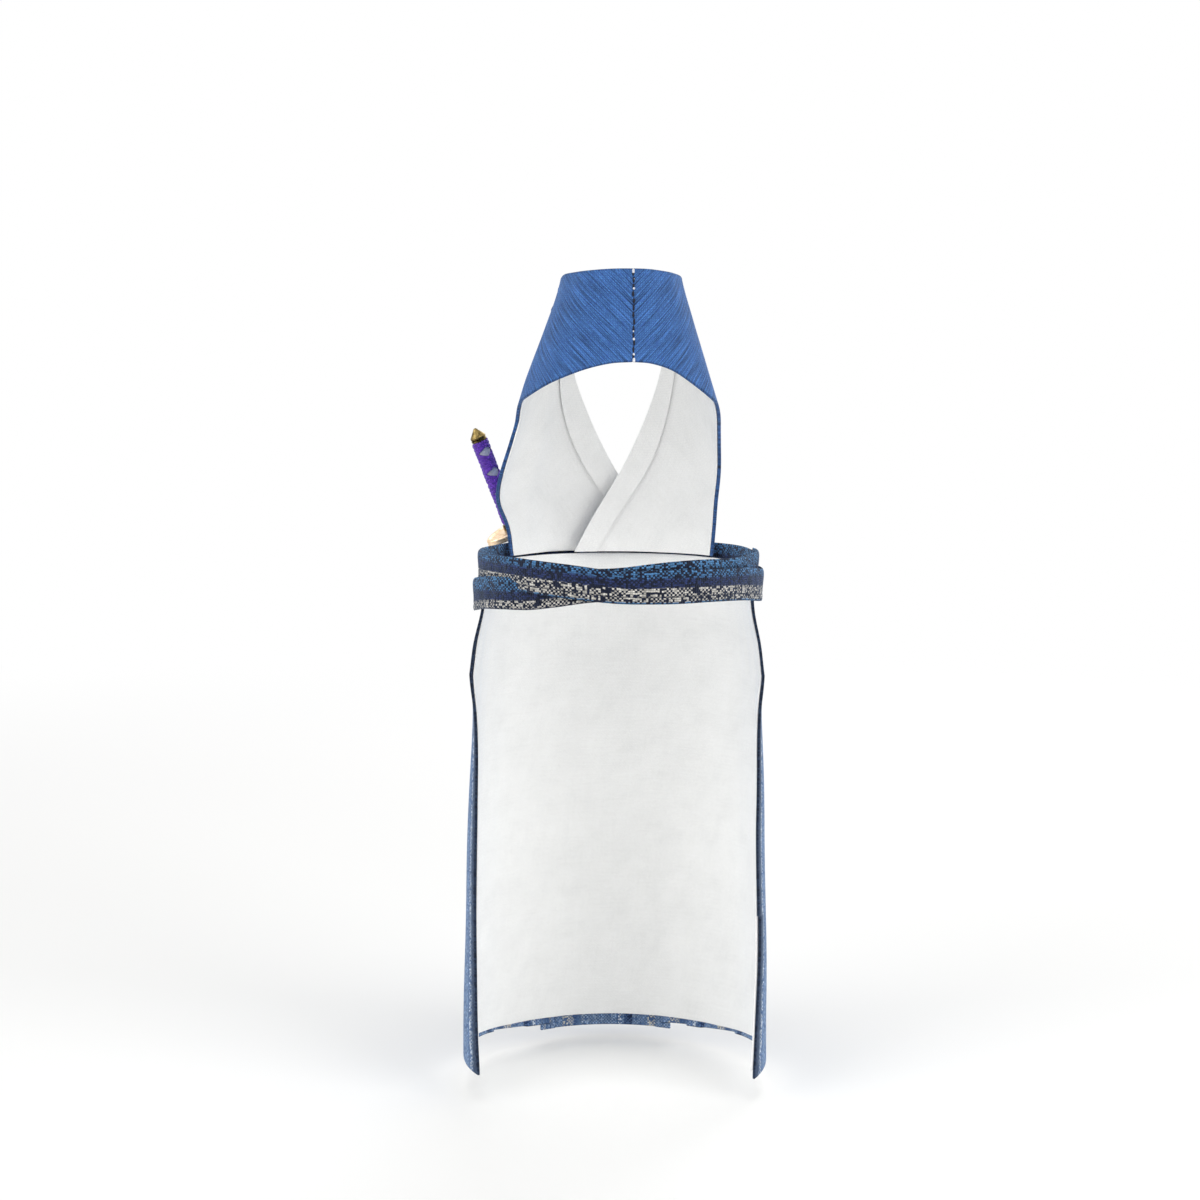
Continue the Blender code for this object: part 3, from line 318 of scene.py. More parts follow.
def normals(points):
    """Unit normals of a grid of points: the cross product of its steps along the rows and columns."""
    return unit(np.cross(np.gradient(points, axis=0), np.gradient(points, axis=1)))


def steps(points, axis):
    """Millimetres walked along one axis of a grid of points, from its first point."""
    length = np.linalg.norm(np.diff(points, axis=axis), axis=-1) * 1000.0
    start = np.zeros_like(np.take(length, [0], axis=axis))
    return np.cumsum(np.concatenate([start, length], axis=axis), axis=axis)


def quads(index):
    """The faces between neighbouring rows and columns of a grid of point numbers."""
    return np.stack([index[:-1, :-1], index[:-1, 1:], index[1:, 1:], index[1:, :-1]], axis=-1).reshape(-1, 4)


def new_object(name, data):
    """An object of a mesh, lamp or camera, in the scene."""
    made = bpy.data.objects.new(name, data)
    bpy.context.scene.collection.objects.link(made)
    return made


def mesh_object(name, points, faces, uv, finish, sharp=None, edge=None):
    """A closed object at the origin from points, faces and a UV place for each point, faces outwards.

    Edge marks each point of a turned or folded edge with 1, for the painted shade that the weave's finish puts
    there.
    """
    mesh = bpy.data.meshes.new(name)
    mesh.from_pydata(points.tolist(), [], faces.tolist())
    if uv is not None:
        layer = mesh.uv_layers.new(name="UVMap")
        corner = np.empty(len(mesh.loops), np.int32)
        mesh.loops.foreach_get("vertex_index", corner)
        layer.data.foreach_set("uv", uv[corner].astype(np.float32).ravel())
    if edge is not None:
        layer = mesh.attributes.new("painted_edge_shade", "FLOAT", "POINT")
        layer.data.foreach_set("value", edge.astype(np.float32))
    mesh.materials.append(finish)
    whole = bmesh.new()
    whole.from_mesh(mesh)
    bmesh.ops.holes_fill(whole, edges=[e for e in whole.edges if e.is_boundary])
    bmesh.ops.recalc_face_normals(whole, faces=whole.faces)
    whole.to_mesh(mesh)
    whole.free()
    mesh.shade_smooth()
    if sharp:
        mesh.set_sharp_from_angle(angle=math.radians(sharp))
    return new_object(name, mesh)


def cloth(part, slot, middle, half, uv=None, edge=0.0):
    """A cloth with rounded edges: the grid moved both ways along its normals by half its thickness.

    Round its rim run five more loops on a half circle, middle plus half times (out cos a + normal sin a), so
    that a cut or folded edge is round. UV is millimetres walked along the columns and rows. It rides on the
    cover and stands for the CAD part of its name.
    """
    rows, columns = middle.shape[:2]
    half = (half * np.ones((rows, columns)))[..., None]
    edge = (edge * np.ones((rows, columns))).ravel()
    normal = normals(middle)
    index = np.arange(rows * columns).reshape(rows, columns)
    rim = np.concatenate([index[0, :-1], index[:-1, -1], index[-1, :0:-1], index[:0:-1, 0]])
    out = np.zeros_like(middle)
    out[0] += unit(middle[0] - middle[1])
    out[-1] += unit(middle[-1] - middle[-2])
    out[:, 0] += unit(middle[:, 0] - middle[:, 1])
    out[:, -1] += unit(middle[:, -1] - middle[:, -2])
    out = unit(out.reshape(-1, 3)[rim])
    border, up = middle.reshape(-1, 3)[rim], normal.reshape(-1, 3)[rim]
    thick = half.reshape(-1, 1)[rim]
    turns = np.radians([60.0, 30.0, 0.0, -30.0, -60.0])
    loops = [border + thick * (out * math.cos(a) + up * math.sin(a)) for a in turns]
    both = [(middle + way * normal * half).reshape(-1, 3) for way in (1, -1)]
    points = np.concatenate(both + loops)
    count = rows * columns
    between = 2 * count + np.arange(len(turns) * len(rim)).reshape(len(turns), len(rim))
    ring = np.concatenate([rim[None], between, rim[None] + count])
    ring = np.concatenate([ring, ring[:, :1]], axis=1)
    faces = np.concatenate([quads(index), quads(index)[:, ::-1] + count, quads(ring)])
    if uv is None:
        uv = stacked(steps(middle, 1), steps(middle, 0))
    flat = uv.reshape(-1, 2)
    flat = np.concatenate([flat, flat, *[flat[rim]] * len(turns)])
    # Painted shade: every rim loop is marked in full, so the weave darkens each cut or folded edge.
    edge = np.concatenate([edge, edge, np.ones(len(turns) * len(rim))])
    made = mesh_object(part + "_cloth", points, faces, flat, CLOTHS[slot], edge=edge)
    return put(made, "cover", slot, part)


def tube(name, rings, finish, uv=None, sharp=50.0):
    """A closed solid through rings of points, its ends filled with one face each."""
    rows, columns = rings.shape[:2]
    index = np.arange(rows * columns).reshape(rows, columns)
    index = np.concatenate([index, index[:, :1]], axis=1)
    return mesh_object(name, rings.reshape(-1, 3), quads(index), uv, finish, sharp)


def put(made, body, slot, *nodes):
    """Rides a piece on its body and hides the CAD nodes that it stands for. Slot is not used."""
    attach(made, body)
    if nodes:
        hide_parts(*nodes)
    return made


# Materials.

# Indigo-dyed slub cotton, woven of uneven yarn and cut on the bias: fine lines of thicker thread.
BLUE_SLUB = woven(
    "indigo slub cotton", "#3A60A0", "#426FAC", pitch=0.42, depth=0.34, spots=0.14, strays=0.06, slub=0.66,
    relief=0.00011, bias=45.0, edge=0.4,
)
# White cotton lawn, a close smooth plain weave: drawn at twice its thread spacing so that it shows at all.
WHITE_LAWN = woven(
    "white cotton lawn", "#F8F8F7", "#FCFCFA", pitch=0.40, depth=0.10, spots=0.04, strays=0.0, slub=0.02,
    relief=0.00004, cross=0.015, rough=0.8,
)
# Spun polyester thread, with a slight gloss.
WHITE_THREAD = coated("white sewing thread", "#F2F3F8", rough=0.6, grain=0.3, relief=0.00003, sheen=0.2)
# Painted shadow: a dark, slightly glossy finish for the dashes that stand for the shade in the seam's valley.
SEAM_SHADOW = coated("painted seam shadow", "#0C1228", rough=0.8, grain=0.3, relief=0.00003)
# Yarn-dyed striped cotton, worn pale by washing: denim blue with pale, navy and grey marled stripes.
SKIRT_STOPS = (
    (0.0, "#8FA7C6"), (0.298, "#8BA4C5"), (0.305, "#4E6E9E"), (0.32, "#4E6E9E"), (0.326, "#CFDBE8"),
    (0.36, "#C8D5E4"), (0.367, "#8BA4C5"), (0.38, "#8BA4C5"), (0.40, "#24406C"), (0.48, "#1A2B4C"),
    (0.50, "#8FA7C6"), (0.66, "#7E98BC"), (0.68, "#CFCDC4"), (0.79, "#BFC1C1"), (0.81, "#33507E"),
    (0.89, "#6C88B0"), (0.91, "#B9CADD"), (0.94, "#8FA7C6"), (1.0, "#8FA7C6"),
)
SKIRT_STRIPE = woven(
    "striped skirt cotton", "#54709C", SKIRT_STOPS, pitch=0.44, depth=0.45, spots=0.45, strays=0.12, slub=0.14,
    relief=0.00012, repeat=SKIRT_REPEAT, edge=0.8,
)
# Heavier striped cotton, of yarn thick enough to count: dark weft through blue, navy and cream warp.
BELT_STOPS = (
    (0.0, "#4C7BA6"), (0.30, "#406C99"), (0.365, "#365580"), (0.39, "#26335E"), (0.58, "#212C52"),
    (0.60, "#B8B5AF"), (0.79, "#B4B1AB"), (0.805, "#1A2034"), (0.84, "#B4B1AB"), (0.925, "#AEABA4"),
    (0.94, "#3C6690"), (1.0, "#4B7CA4"),
)
BELT_STRIPE = woven(
    "striped belt cotton", "#10172B", BELT_STOPS, pitch=0.55, depth=0.95, spots=0.70, strays=0.24, slub=0.05,
    relief=0.00018, cross=0.05, repeat=BELT_REPEAT, edge=0.35, loose=1.5,
)
# Cast brass, left to darken, which is brown in its hollows and rubbed bright on its edges; here noise
# mixes the brown and the bright in patches.
AGED_BRASS = metal("aged cast brass", "#94804F", "#3A301D", rough=0.36, grain=1.3)
# Stamped, and plated in pale gold with a satin face: a soft warm shine without sharp reflections.
PALE_GOLD = metal("satin gold plate", "#FFE6C8", "#ECCBA2", rough=0.42, grain=1.2)
# Steel, ground and polished: bright, with a faint cloudiness along it.
BLADE_STEEL = metal("polished blade steel", "#D5D8DC", "#AEB3B9", rough=0.18, grain=3.0, relief=0.000004)
# Lacquered wood: almost black, with a clear hard gloss.
BLACK_LACQUER = coated("black scabbard lacquer", "#17171A", rough=0.25, grain=4.0, relief=0.000003, coat=0.8)
# Horn, turned and polished: brown-black, with a softer gloss than the lacquer's.
DARK_HORN = coated("polished dark horn", "#2C2620", rough=0.3, grain=2.0, relief=0.00001, coat=0.3)
# Ray skin: pale, with close round grains that show between the cords.
RAY_SKIN = coated("pale ray skin", "#DADCE8", rough=0.6, grain=0.5, relief=0.00010, coat=0.1)
# Braided silk, dyed purple: fine strands cross along each cord. The light that they catch one by one is
# painted: a painted highlight in the lighter purple strands and in each strand's own lightness.
PURPLE_SILK = woven(
    "braided purple silk", "#562CAA", "#8850DA", pitch=0.26, depth=0.6, spots=0.55, strays=0.1, slub=0.30,
    relief=0.00010, bias=20.0, rough=0.5,
)
# The cloth of each material slot.
CLOTHS = {
    "blue_slub_cloth": BLUE_SLUB, "white_lining": WHITE_LAWN,
    "striped_skirt_cloth": SKIRT_STRIPE, "striped_belt_cloth": BELT_STRIPE,
}


# Jacket.

OVER = LINING + LAYER_GAP
SEAM_GAP = 0.3
# The layers of the right front under the left one.
LAP_HEIGHT = LINING + CLOTH + CLOTH + INNER_COLLAR + 5.0 * LAYER_GAP
# How far the turned borders of the cloth, the lining and the neckline strip reach in, and the strip's width.
CLOTH_HEM = 0.0028
LINING_HEM = 0.0035
STRIP_HEM = 0.0016
STRIP_WIDTH = 0.0065


def jacket_plan(side, at, v):
    """Angle and drop of a jacket half's points, and the distance between its borders in metres.

    At runs from the back seam to the waist in front, and v from the neckline to the outer border, evenly in
    angle and in drop. The collar is turned round the axis, and the turn fades out towards the side corners.
    """
    edge = (LEFT_ANGLES, LEFT_DROPS) if side < 0 else (RIGHT_ANGLES, RIGHT_DROPS)
    places = np.linspace(0.0, 1.0, len(NECK_ANGLES))
    borders = []
    for angles, drops, twist in ((NECK_ANGLES, NECK_DROPS, COLLAR_TWIST), (*edge, ARCH_TWIST)):
        angle = table(at, places, angles)
        angle = angle - side * twist * np.clip((angle - 90.0) / 90.0, 0.0, 1.0) - SEAM_GAP * (at == 0.0)
        borders.append((angle, table(at, places, drops)))
    (neck, top), (outer, low) = borders
    span = np.linalg.norm(on_jacket(outer, low, 0.0) - on_jacket(neck, top, 0.0), axis=-1)
    return neck * (1 - v) + outer * v, top * (1 - v) + low * v, span


def jacket_layer(side, angle, drop, offset):
    """A layer at an offset from the lining's inner face: the left front is lifted over the right one.

    Soft waves, a tenth of a millimetre high, are what a hand-pressed cloth keeps: the product of two sines.
    """
    lift = LAP_HEIGHT * ease((52.0 - angle) / 28.0) * (side < 0)
    wave = 0.00010 * np.sin(angle * 0.21 + 9.0 * drop * side) * np.sin(26.0 * drop + 1.3 * side)
    return on_jacket(side * angle, drop, offset + lift + wave)


def make_jacket(side, word):
    """One half of the jacket: cloth over a white lining, a strip along the neckline and the white inner collar.

    Towards its borders the cloth is turned in and pressed, so it thickens from half a millimetre to one.
    """
    at = np.linspace(0.0, 1.0, 170)
    rows = np.linspace(0.0, 1.0, 44)[:, None]
    rows = 0.5 + 0.5 * np.sin(math.pi * (rows - 0.5))
    span = jacket_plan(side, at, rows)[2]
    v = (0.00025 + rows * (span - 0.00075)) / span
    angle, drop, span = jacket_plan(side, at, v)
    hem = ease(1.0 - np.minimum(v, 1.0 - v) * span / CLOTH_HEM)
    half = CLOTH / 2 + TURNED_IN * hem
    surface = jacket_layer(side, angle, drop, OVER + CLOTH - half)
    # Painted shade: the turned border is marked a quarter, so the weave darkens it a little.
    shell = cloth(f"jacket_{word}", "blue_slub_cloth", surface, half, edge=0.25 * (hem > 0.9))
    v = (0.0005 + rows * (span - 0.0014)) / span
    angle, drop, span = jacket_plan(side, at, v)
    pressed = ease(1.0 - np.minimum(v, 1.0 - v) * span / LINING_HEM)
    surface = jacket_layer(side, angle, drop, LINING / 2 - TURNED_IN * pressed)
    lining = cloth(f"jacket_lining_{word}", "white_lining", surface, LINING / 2)
    at = np.linspace(0.53, 1.0, 120)
    span = jacket_plan(side, at, 0.0)[2]
    wide = np.linspace(0.0, STRIP_WIDTH, 16)[:, None]
    angle, drop = jacket_plan(side, at, wide / span)[:2]
    half = CLOTH / 2 + 0.00010 * ease(1.0 - np.minimum(wide, STRIP_WIDTH - wide) / STRIP_HEM)
    surface = jacket_layer(side, angle, drop, OVER + CLOTH + LAYER_GAP + half)
    strip = cloth(f"neckline_strip_{word}", "blue_slub_cloth", surface, half)
    wide = np.linspace(-0.0022, 0.0045, 14)[:, None]
    angle, drop = jacket_plan(side, at, wide / span)[:2]
    surface = jacket_layer(side, angle, drop, -2.0 * LAYER_GAP - INNER_COLLAR / 2)
    collar = cloth(f"inner_collar_{word}", "white_lining", surface, INNER_COLLAR / 2)


def make_seam():
    """The centre-back seam: dark dashes of painted seam shadow end to end, and white dots where the thread was
    tied.

    A dash or stitch is a small closed tube along the seam, of radius r times the root of 1 - s squared, with s
    from -1 to 1 along it. All pieces of a colour are one mesh.
    """
    outer = OVER + CLOTH + 0.00002
    around = one_turn(8)
    circle = stacked(np.cos(around), np.sin(around), 0.0)
    s = np.linspace(-0.98, 0.98, 7)
    length = (LEFT_DROPS[0] - NECK_DROPS[0]) * COVER_DROP
    stitch_pitch = 0.00195
    # Painted shadow: dark dashes along the whole seam stand for the shade in its valley.
    dark = np.arange(0.0010, length - 0.0008, stitch_pitch) / length
    white = np.array([0.012, 0.028, 0.105, 0.205, 0.665, 0.750, 0.915, 0.968, 0.984])
    large = np.array([1.1, 1.1, 0.7, 1.0, 0.65, 1.0, 0.95, 1.2, 1.2])
    for name, middles, reach, thick, finish in (
        ("dark", dark, 0.00090, 0.00031, SEAM_SHADOW),
        ("white", white, 0.00042, 0.00034, WHITE_THREAD),
    ):
        size = large if name == "white" else np.ones(len(middles))
        place = middles[:, None] + reach * size[:, None] * s / length
        angle = 180.0 - COLLAR_TWIST + (COLLAR_TWIST - ARCH_TWIST) * place
        angle = angle + 0.35 * np.sin(700.0 * middles)[:, None]
        drop = NECK_DROPS[0] + place * (LEFT_DROPS[0] - NECK_DROPS[0])
        spine = on_jacket(angle, drop, outer + 0.00006 * (name == "white"))
        wide = (thick * size)[:, None] * np.sqrt(1.0 - s**2)
        points = (spine[:, :, None] + wide[..., None, None] * circle).reshape(-1, 3)
        index = np.arange(len(points)).reshape(len(middles), len(s), len(around))
        index = np.concatenate([index, index[:, :, :1]], axis=2)
        faces = np.concatenate([quads(one) for one in index])
        made = mesh_object(f"back_seam_{name}_stitches", points, faces, None, finish)
        put(made, "cover", "white_thread", *(["back_seam_stitches"] if name == "white" else []))


# Skirt.

SKIRT_LAST = LEFT_SKIRT_EDGE[0]
# Degrees that a side panel starts under the centre pleat, and the navy stripe's place in the repeat.
PANEL_UNDER = 2.9
NAVY_PLACE = 0.42


def skirt_drops(v, rise):
    """Drops of a skirt layer's rows from the waist to its hem, with the last rows raised."""
    return SKIRT_DROP[0] + v * (1.0 - SKIRT_DROP[0]) - v**8 * rise / COVER_DROP


def hem_rise(angle):
    """How far a side panel's hem stands above the pleat's, by its side's table: highest at the side."""
    turn = np.abs(angle)
    return np.where(angle < 0.0, table(turn, HEM_ANGLES, LEFT_HEM), table(turn, HEM_ANGLES, RIGHT_HEM))


def skirt_rows():
    """Shares from the waist to the hem, closer together where the turned edge stops."""
    close = STEP_PLACE + np.linspace(-STEP_RUN / 2, STEP_RUN / 2, 5)
    return np.sort(np.concatenate([np.linspace(0.0, 1.0, 100), close]))[:, None]


def stepped(v):
    """A smooth step from 0 to 1 where the right side's turned edge stops."""
    return ease((v - STEP_PLACE) / STEP_RUN + 0.5)


def walked_cloth(angle):
    """Millimetres of cloth along a section through these angles, on 1.05 times the cover's inner radius."""
    return np.radians(np.cumsum(np.abs(np.diff(angle, prepend=angle[0])))) * 1050.0 * BOTTLE_RADIUS


def pleat_path(start):
    """A side panel's section as angles and lift shares, from its inner edge outwards.

    The cloth rises to each fold, turns under it, runs back by the tuck, turns again and goes on at the bottom.
    """
    turn = np.linspace(0.0, math.pi, 7)[1:]
    angle, lift = [[start]], [[0.0]]
    low = start + PANEL_UNDER
    for fold in PLEAT_FOLDS:
        back = fold - PLEAT_TUCK
        angle += [np.linspace(low, fold - 0.3, 12), fold - 0.3 + 0.45 * np.sin(turn)]
        lift += [np.linspace(0.0, 1.0, 12), 0.75 + 0.25 * np.cos(turn)]
        angle += [np.linspace(fold - 0.6, back, 6), back - 0.35 * np.sin(turn)]
        lift += [np.linspace(0.5, 0.46, 6), 0.23 + 0.23 * np.cos(turn)]
        low = fold + 1.2
        angle.append(np.linspace(back + 0.3, low, 6))
        lift.append(np.zeros(6))
    angle.append(low + 1.5 + (SKIRT_LAST - low - 1.5) * np.sin(np.linspace(0.0, math.pi / 2, 22)))
    lift.append(np.zeros(22))
    return np.concatenate(angle), np.concatenate(lift)


def make_side_panel(side, word):
    """One side of the skirt with two knife pleats, and the waves that its free edge has below the belt.

    Its side edge is turned in, so it is a millimetre thick there, and on the right the turned edge stops short
    above the hem.
    """
    covered = abs(CENTRE_LEFT if side < 0 else CENTRE_RIGHT)
    flat_angle, lift = pleat_path(covered - PANEL_UNDER)
    walked = walked_cloth(flat_angle)
    v = skirt_rows()
    drop = skirt_drops(v, hem_rise(side * flat_angle))
    last = np.clip((flat_angle - PLEAT_FOLDS[-1]) / (SKIRT_LAST - PLEAT_FOLDS[-1]), 0.0, 1.0)
    edge = skirt_edge(drop, side) - 0.65 - 1.2 * stepped(v) * (side > 0)
    angle = flat_angle + (edge - SKIRT_LAST) * last
    opened = ease(0.15 + v / 0.25)
    wave = 0.00016 * np.sin(17.0 * v + 0.09 * flat_angle * side) * last
    hem = np.maximum(ease(1.0 - (SKIRT_LAST - flat_angle) / 3.4), ease(1.0 - (1.0 - v) / 0.012))
    hem = hem * (lift < 0.01)
    half = CLOTH / 2 - 0.00003 + 0.00020 * hem
    outside = LINING + LAYER_GAP + CLOTH
    surface = on_skirt(side * angle, drop, outside - half + PLEAT_DEPTH * lift * opened + wave)
    # The navy stripe lies at the side edge, as the cloth was cut.
    shift = (2.0 + NAVY_PLACE) * SKIRT_REPEAT - walked[-1] % SKIRT_REPEAT
    uv = stacked(steps(surface, 0), walked + shift)
    # Painted shade: the last degrees before the turned side edge are marked, so the weave darkens them.
    near = 0.85 * ease((flat_angle - SKIRT_LAST + 2.6) / 1.2)
    made = cloth(f"skirt_panel_{word}", "striped_skirt_cloth", surface, half, uv, near)


def make_centre_pleat():
    """The box pleat down the front: its two edges are folds that turn back under it by four millimetres."""
    u = np.linspace(0.0, 1.0, 41)
    turn = np.linspace(0.0, math.pi, 7)[1:]
    under, deep = 5.5, 0.00052
    flat = CENTRE_LEFT + u * (CENTRE_RIGHT - CENTRE_LEFT)
    turned = np.concatenate([0.4 * np.sin(turn), np.linspace(-0.4, -under, 6)])
    sunk = np.concatenate([-deep / 2 * (1 - np.cos(turn)), [-deep] * 6])
    angle = np.concatenate([(CENTRE_LEFT - turned)[::-1], flat, CENTRE_RIGHT + turned])
    lift = np.concatenate([sunk[::-1], 0.0 * u, sunk])
    v = np.linspace(0.0, 1.0, 80)[:, None]
    drop = skirt_drops(v, 0.0)
    from_middle = np.abs(2.0 * (angle - CENTRE_LEFT) / (CENTRE_RIGHT - CENTRE_LEFT) - 1.0)
    bow = 1.0 - np.clip(from_middle, 0.0, 1.0) ** 2
    base = LINING + CLOTH + 2.0 * LAYER_GAP + CLOTH / 2 + PLEAT_ROOM
    surface = on_skirt(angle, drop, base + lift + 0.0004 * bow * v)
    uv = stacked(steps(surface, 0), walked_cloth(angle) + 5.0)
    made = cloth("skirt_centre_pleat", "striped_skirt_cloth", surface, CLOTH / 2 - 0.00005, uv)


def make_skirt_lining():
    """The white lining behind the whole skirt, a little short of its hem and its side edges.

    It keeps soft upright waves where the pleats press on it, and stands out past the turned edge's step.
    """
    u = np.sin(np.linspace(-0.5, 0.5, 150) * math.pi)
    v = skirt_rows()
    drop = skirt_drops(v, HEM_RISE + hem_rise(SKIRT_LAST * u))
    edge = np.where(u < 0.0, skirt_edge(drop, -1), skirt_edge(drop, 1) + 0.5 * stepped(v)) - 1.3
    angle = u * edge
    wave = np.sin(0.33 * angle + 1.2 * v) * ease(v * 3.0) + 0.5 * np.sin(0.8 * angle) * np.sin(9.0 * v)
    surface = on_skirt(angle, drop, LINING / 2 + 0.00009 * wave)
    made = cloth("skirt_lining", "white_lining", surface, LINING / 2)


# Belt: waistband, two ties and the knot.

# Each row is an angle from the back towards the side that the tie ends on, the drop of its middle line, and its
# inner reach against the cover's inner radius.
TIE_A = np.array([
    (-99.4, 0.3555, 1.029), (-85.0, 0.3560, 1.029), (-65.0, 0.3545, 1.016), (-50.0, 0.3540, 1.003),
    (-35.0, 0.3560, 0.993), (-20.0, 0.3590, 0.985), (0.0, 0.3640, 0.982), (20.0, 0.3645, 0.985),
    (35.0, 0.3650, 0.993), (65.0, 0.3690, 1.022), (85.0, 0.3760, 1.064), (110.0, 0.3750, 1.064),
    (140.0, 0.3720, 1.080), (173.0, 0.3700, 1.100),
])
TIE_B = np.array([
    (-99.4, 0.3540, 1.029), (-85.0, 0.3540, 1.028), (-65.0, 0.3560, 0.990), (-35.0, 0.3540, 0.965),
    (-15.0, 0.3570, 0.955), (0.0, 0.3610, 0.952), (14.0, 0.3640, 0.953), (29.0, 0.3710, 0.958),
    (42.0, 0.3770, 0.975), (55.0, 0.3790, 1.028), (68.0, 0.3820, 1.052), (80.0, 0.3880, 1.064),
    (95.0, 0.3940, 1.066), (112.0, 0.3900, 1.070), (140.0, 0.3790, 1.080), (173.0, 0.3700, 1.100),
])
SWORD_UP = np.array([-0.342, -0.196, math.sqrt(1.0 - 0.342**2 - 0.196**2)])
SWORD_ANGLE = -37.8
SWORD_DROP = 0.373
GUARD_ABOVE_BELT = 0.0126
SCABBARD_DEPTH = 0.0036
# Places across a strip, and its half thickness there: full times 0.35 + 0.65 (1 - (2 v - 1)^8).
ACROSS = np.linspace(0.0, 1.0, 27)[:, None]
PILLOW = BELT_CLOTH / 2 * (0.35 + 0.65 * (1.0 - (2.0 * ACROSS - 1.0) ** 8))


def waistband_reach(angle, offset):
    """Distance from the axis to the waistband, an oval: 1 over the root of (sin / side)^2 + (cos / front)^2."""
    side = BOTTLE_RADIUS * SKIRT_SIDE[0] + LINING + LAYER_GAP + CLOTH + PLEAT_ROOM
    front = BOTTLE_RADIUS * float(table(NECK_DROPS[-1], BOTTLE_DROP, BOTTLE_REACH)) + WEAR_GAP + LAP_HEIGHT
    front += LINING + CLOTH + CLOTH + 3.0 * LAYER_GAP + BELT_GAP
    turn = np.radians(angle)
    return 1.0 / np.sqrt((np.sin(turn) / side) ** 2 + (np.cos(turn) / front) ** 2) + offset


def sword_frame():
    """The sword's place at the guard: local Z runs up to the pommel, and local Y outwards from the cover."""
    turn = math.radians(SWORD_ANGLE)
    outward = Vector((math.sin(turn), math.cos(turn), 0.0))
    belt = outward * float(waistband_reach(SWORD_ANGLE, BELT_CLOTH + BELT_GAP + SCABBARD_DEPTH / 2))
    belt.z = -SWORD_DROP * COVER_DROP
    up = Vector(SWORD_UP)
    outward = (outward - up * outward.dot(up)).normalized()
    axes = Matrix((outward.cross(up), outward, up)).transposed().to_4x4()
    return Matrix.Translation(belt + up * GUARD_ABOVE_BELT) @ axes


def make_band(part, reach, angle, centre, shift):
    """A folded strip with pillow edges, a pressed crease near its lower edge, and a soft roll along it.

    Shift is the place in the stripes, in millimetres, at which its upper edge is cut.
    """
    v = ACROSS
    width = (BELT_WIDTH - 0.0003) * (1.0 + 0.02 * np.sin(angle * 0.13))
    crease = -0.00018 * np.exp(-(((v - 0.80) / 0.03) ** 2)) + 0.00006 * np.sin(2.0 * math.pi * v)
    roll = 0.00012 * np.sin(angle * 0.22 + 5.0 * v) + 0.00005 * np.sin(angle * 0.9 + 2.0 * v)
    reach = reach + crease + roll
    turn = np.radians(angle)
    surface = stacked(reach * np.sin(turn), reach * np.cos(turn), centre - (v - 0.5) * width)
    uv = stacked(steps(surface, 1)[len(v) // 2], shift + 1000.0 * BELT_WIDTH * v)
    made = cloth(part, "striped_belt_cloth", surface, PILLOW, uv)


def make_waistband():
    """The band across the front, nine millimetres wide, over the seam between jacket and skirt."""
    angle = np.linspace(-80.0, 80.0, 170)
    centre = -BELT_TOP * COVER_DROP - 0.009 / 2
    reach = waistband_reach(angle, BELT_CLOTH / 2)
    make_band("waistband", reach, angle, centre, 1.2)


def make_tie(word, turn, rows, shift):
    """A tie round the back by its table, on the waistband in front, pushed out where the scabbard passes."""
    at = np.linspace(rows[0, 0], rows[-1, 0], 330)
    centre = -COVER_DROP * table(at, rows[:, 0], rows[:, 1])
    reach = BOTTLE_RADIUS * table(at, rows[:, 0], rows[:, 2])
    from_front = np.where(turn * at > 0.0, 180.0, -180.0) - turn * at
    # From 92 degrees off the back on, it leaves its own table and lies on the waistband.
    over = ease((at - 92.0) / 12.0)
    reach = reach * (1.0 - over) + waistband_reach(from_front, BELT_CLOTH + BELT_GAP) * over
    if turn < 0:
        z = centre - (ACROSS - 0.5) * BELT_WIDTH
        guard = np.array(sword_frame().translation)
        spot = guard + SWORD_UP * ((z[..., None] - guard[2]) / SWORD_UP[2])
        needed = np.hypot(spot[..., 0], spot[..., 1]) + SCABBARD_DEPTH / 2 + 0.0005
        away = (from_front - np.degrees(np.arctan2(spot[..., 0], spot[..., 1]))) / 8.5
        reach = reach + np.maximum(needed - reach, 0.0) * over * np.exp(-(away**4))
    make_band(f"belt_tie_{word}", reach + BELT_CLOTH / 2, 180.0 - turn * at, centre, shift)


def knot_middle():
    """The knot's middle in front of the waistband, and its height."""
    return float(waistband_reach(0.0, BELT_CLOTH + BELT_GAP)) + 0.0030, -0.3700 * COVER_DROP


def make_knot():
    """The last turn of the knot: a band wound once round the two ties, gathered into soft folds.

    In its section it is a superellipse, |y / a|^2.6 + |z / b|^2.6 = 1, and across its width the cloth rises
    and falls by three folds and draws in at both edges.
    """
    y0, z0 = knot_middle()
    around = one_turn(96)
    v = np.linspace(-1.0, 1.0, 41)[:, None]
    power = 2.0 / 2.6
    c = np.sign(np.cos(around)) * np.abs(np.cos(around)) ** power
    s = np.sign(np.sin(around)) * np.abs(np.sin(around)) ** power
    fold = 0.00026 * np.cos(3.2 * math.pi * v + 0.8 * np.sin(around))
    shrink = (1.0 - 0.22 * v**6) * np.sqrt(1.0 - 0.55 * np.abs(v) ** 14)
    half_width, half_depth, half_height = 0.0044, 0.00275, 0.00520
    x = half_width * v * (1.0 - 0.12 * np.abs(s)) + 0.0007 * s
    y = y0 + (half_depth * shrink + fold * (1.0 - v**2)) * c
    z = z0 + (half_height * shrink + fold) * s
    uv = stacked(around * 4.3, 6.9 + 4.7 * v).reshape(-1, 2)
    made = tube("belt_knot_cloth", stacked(x, y, z), BELT_STRIPE, uv)
    put(made, "cover", "striped_belt_cloth", "tie_knot")


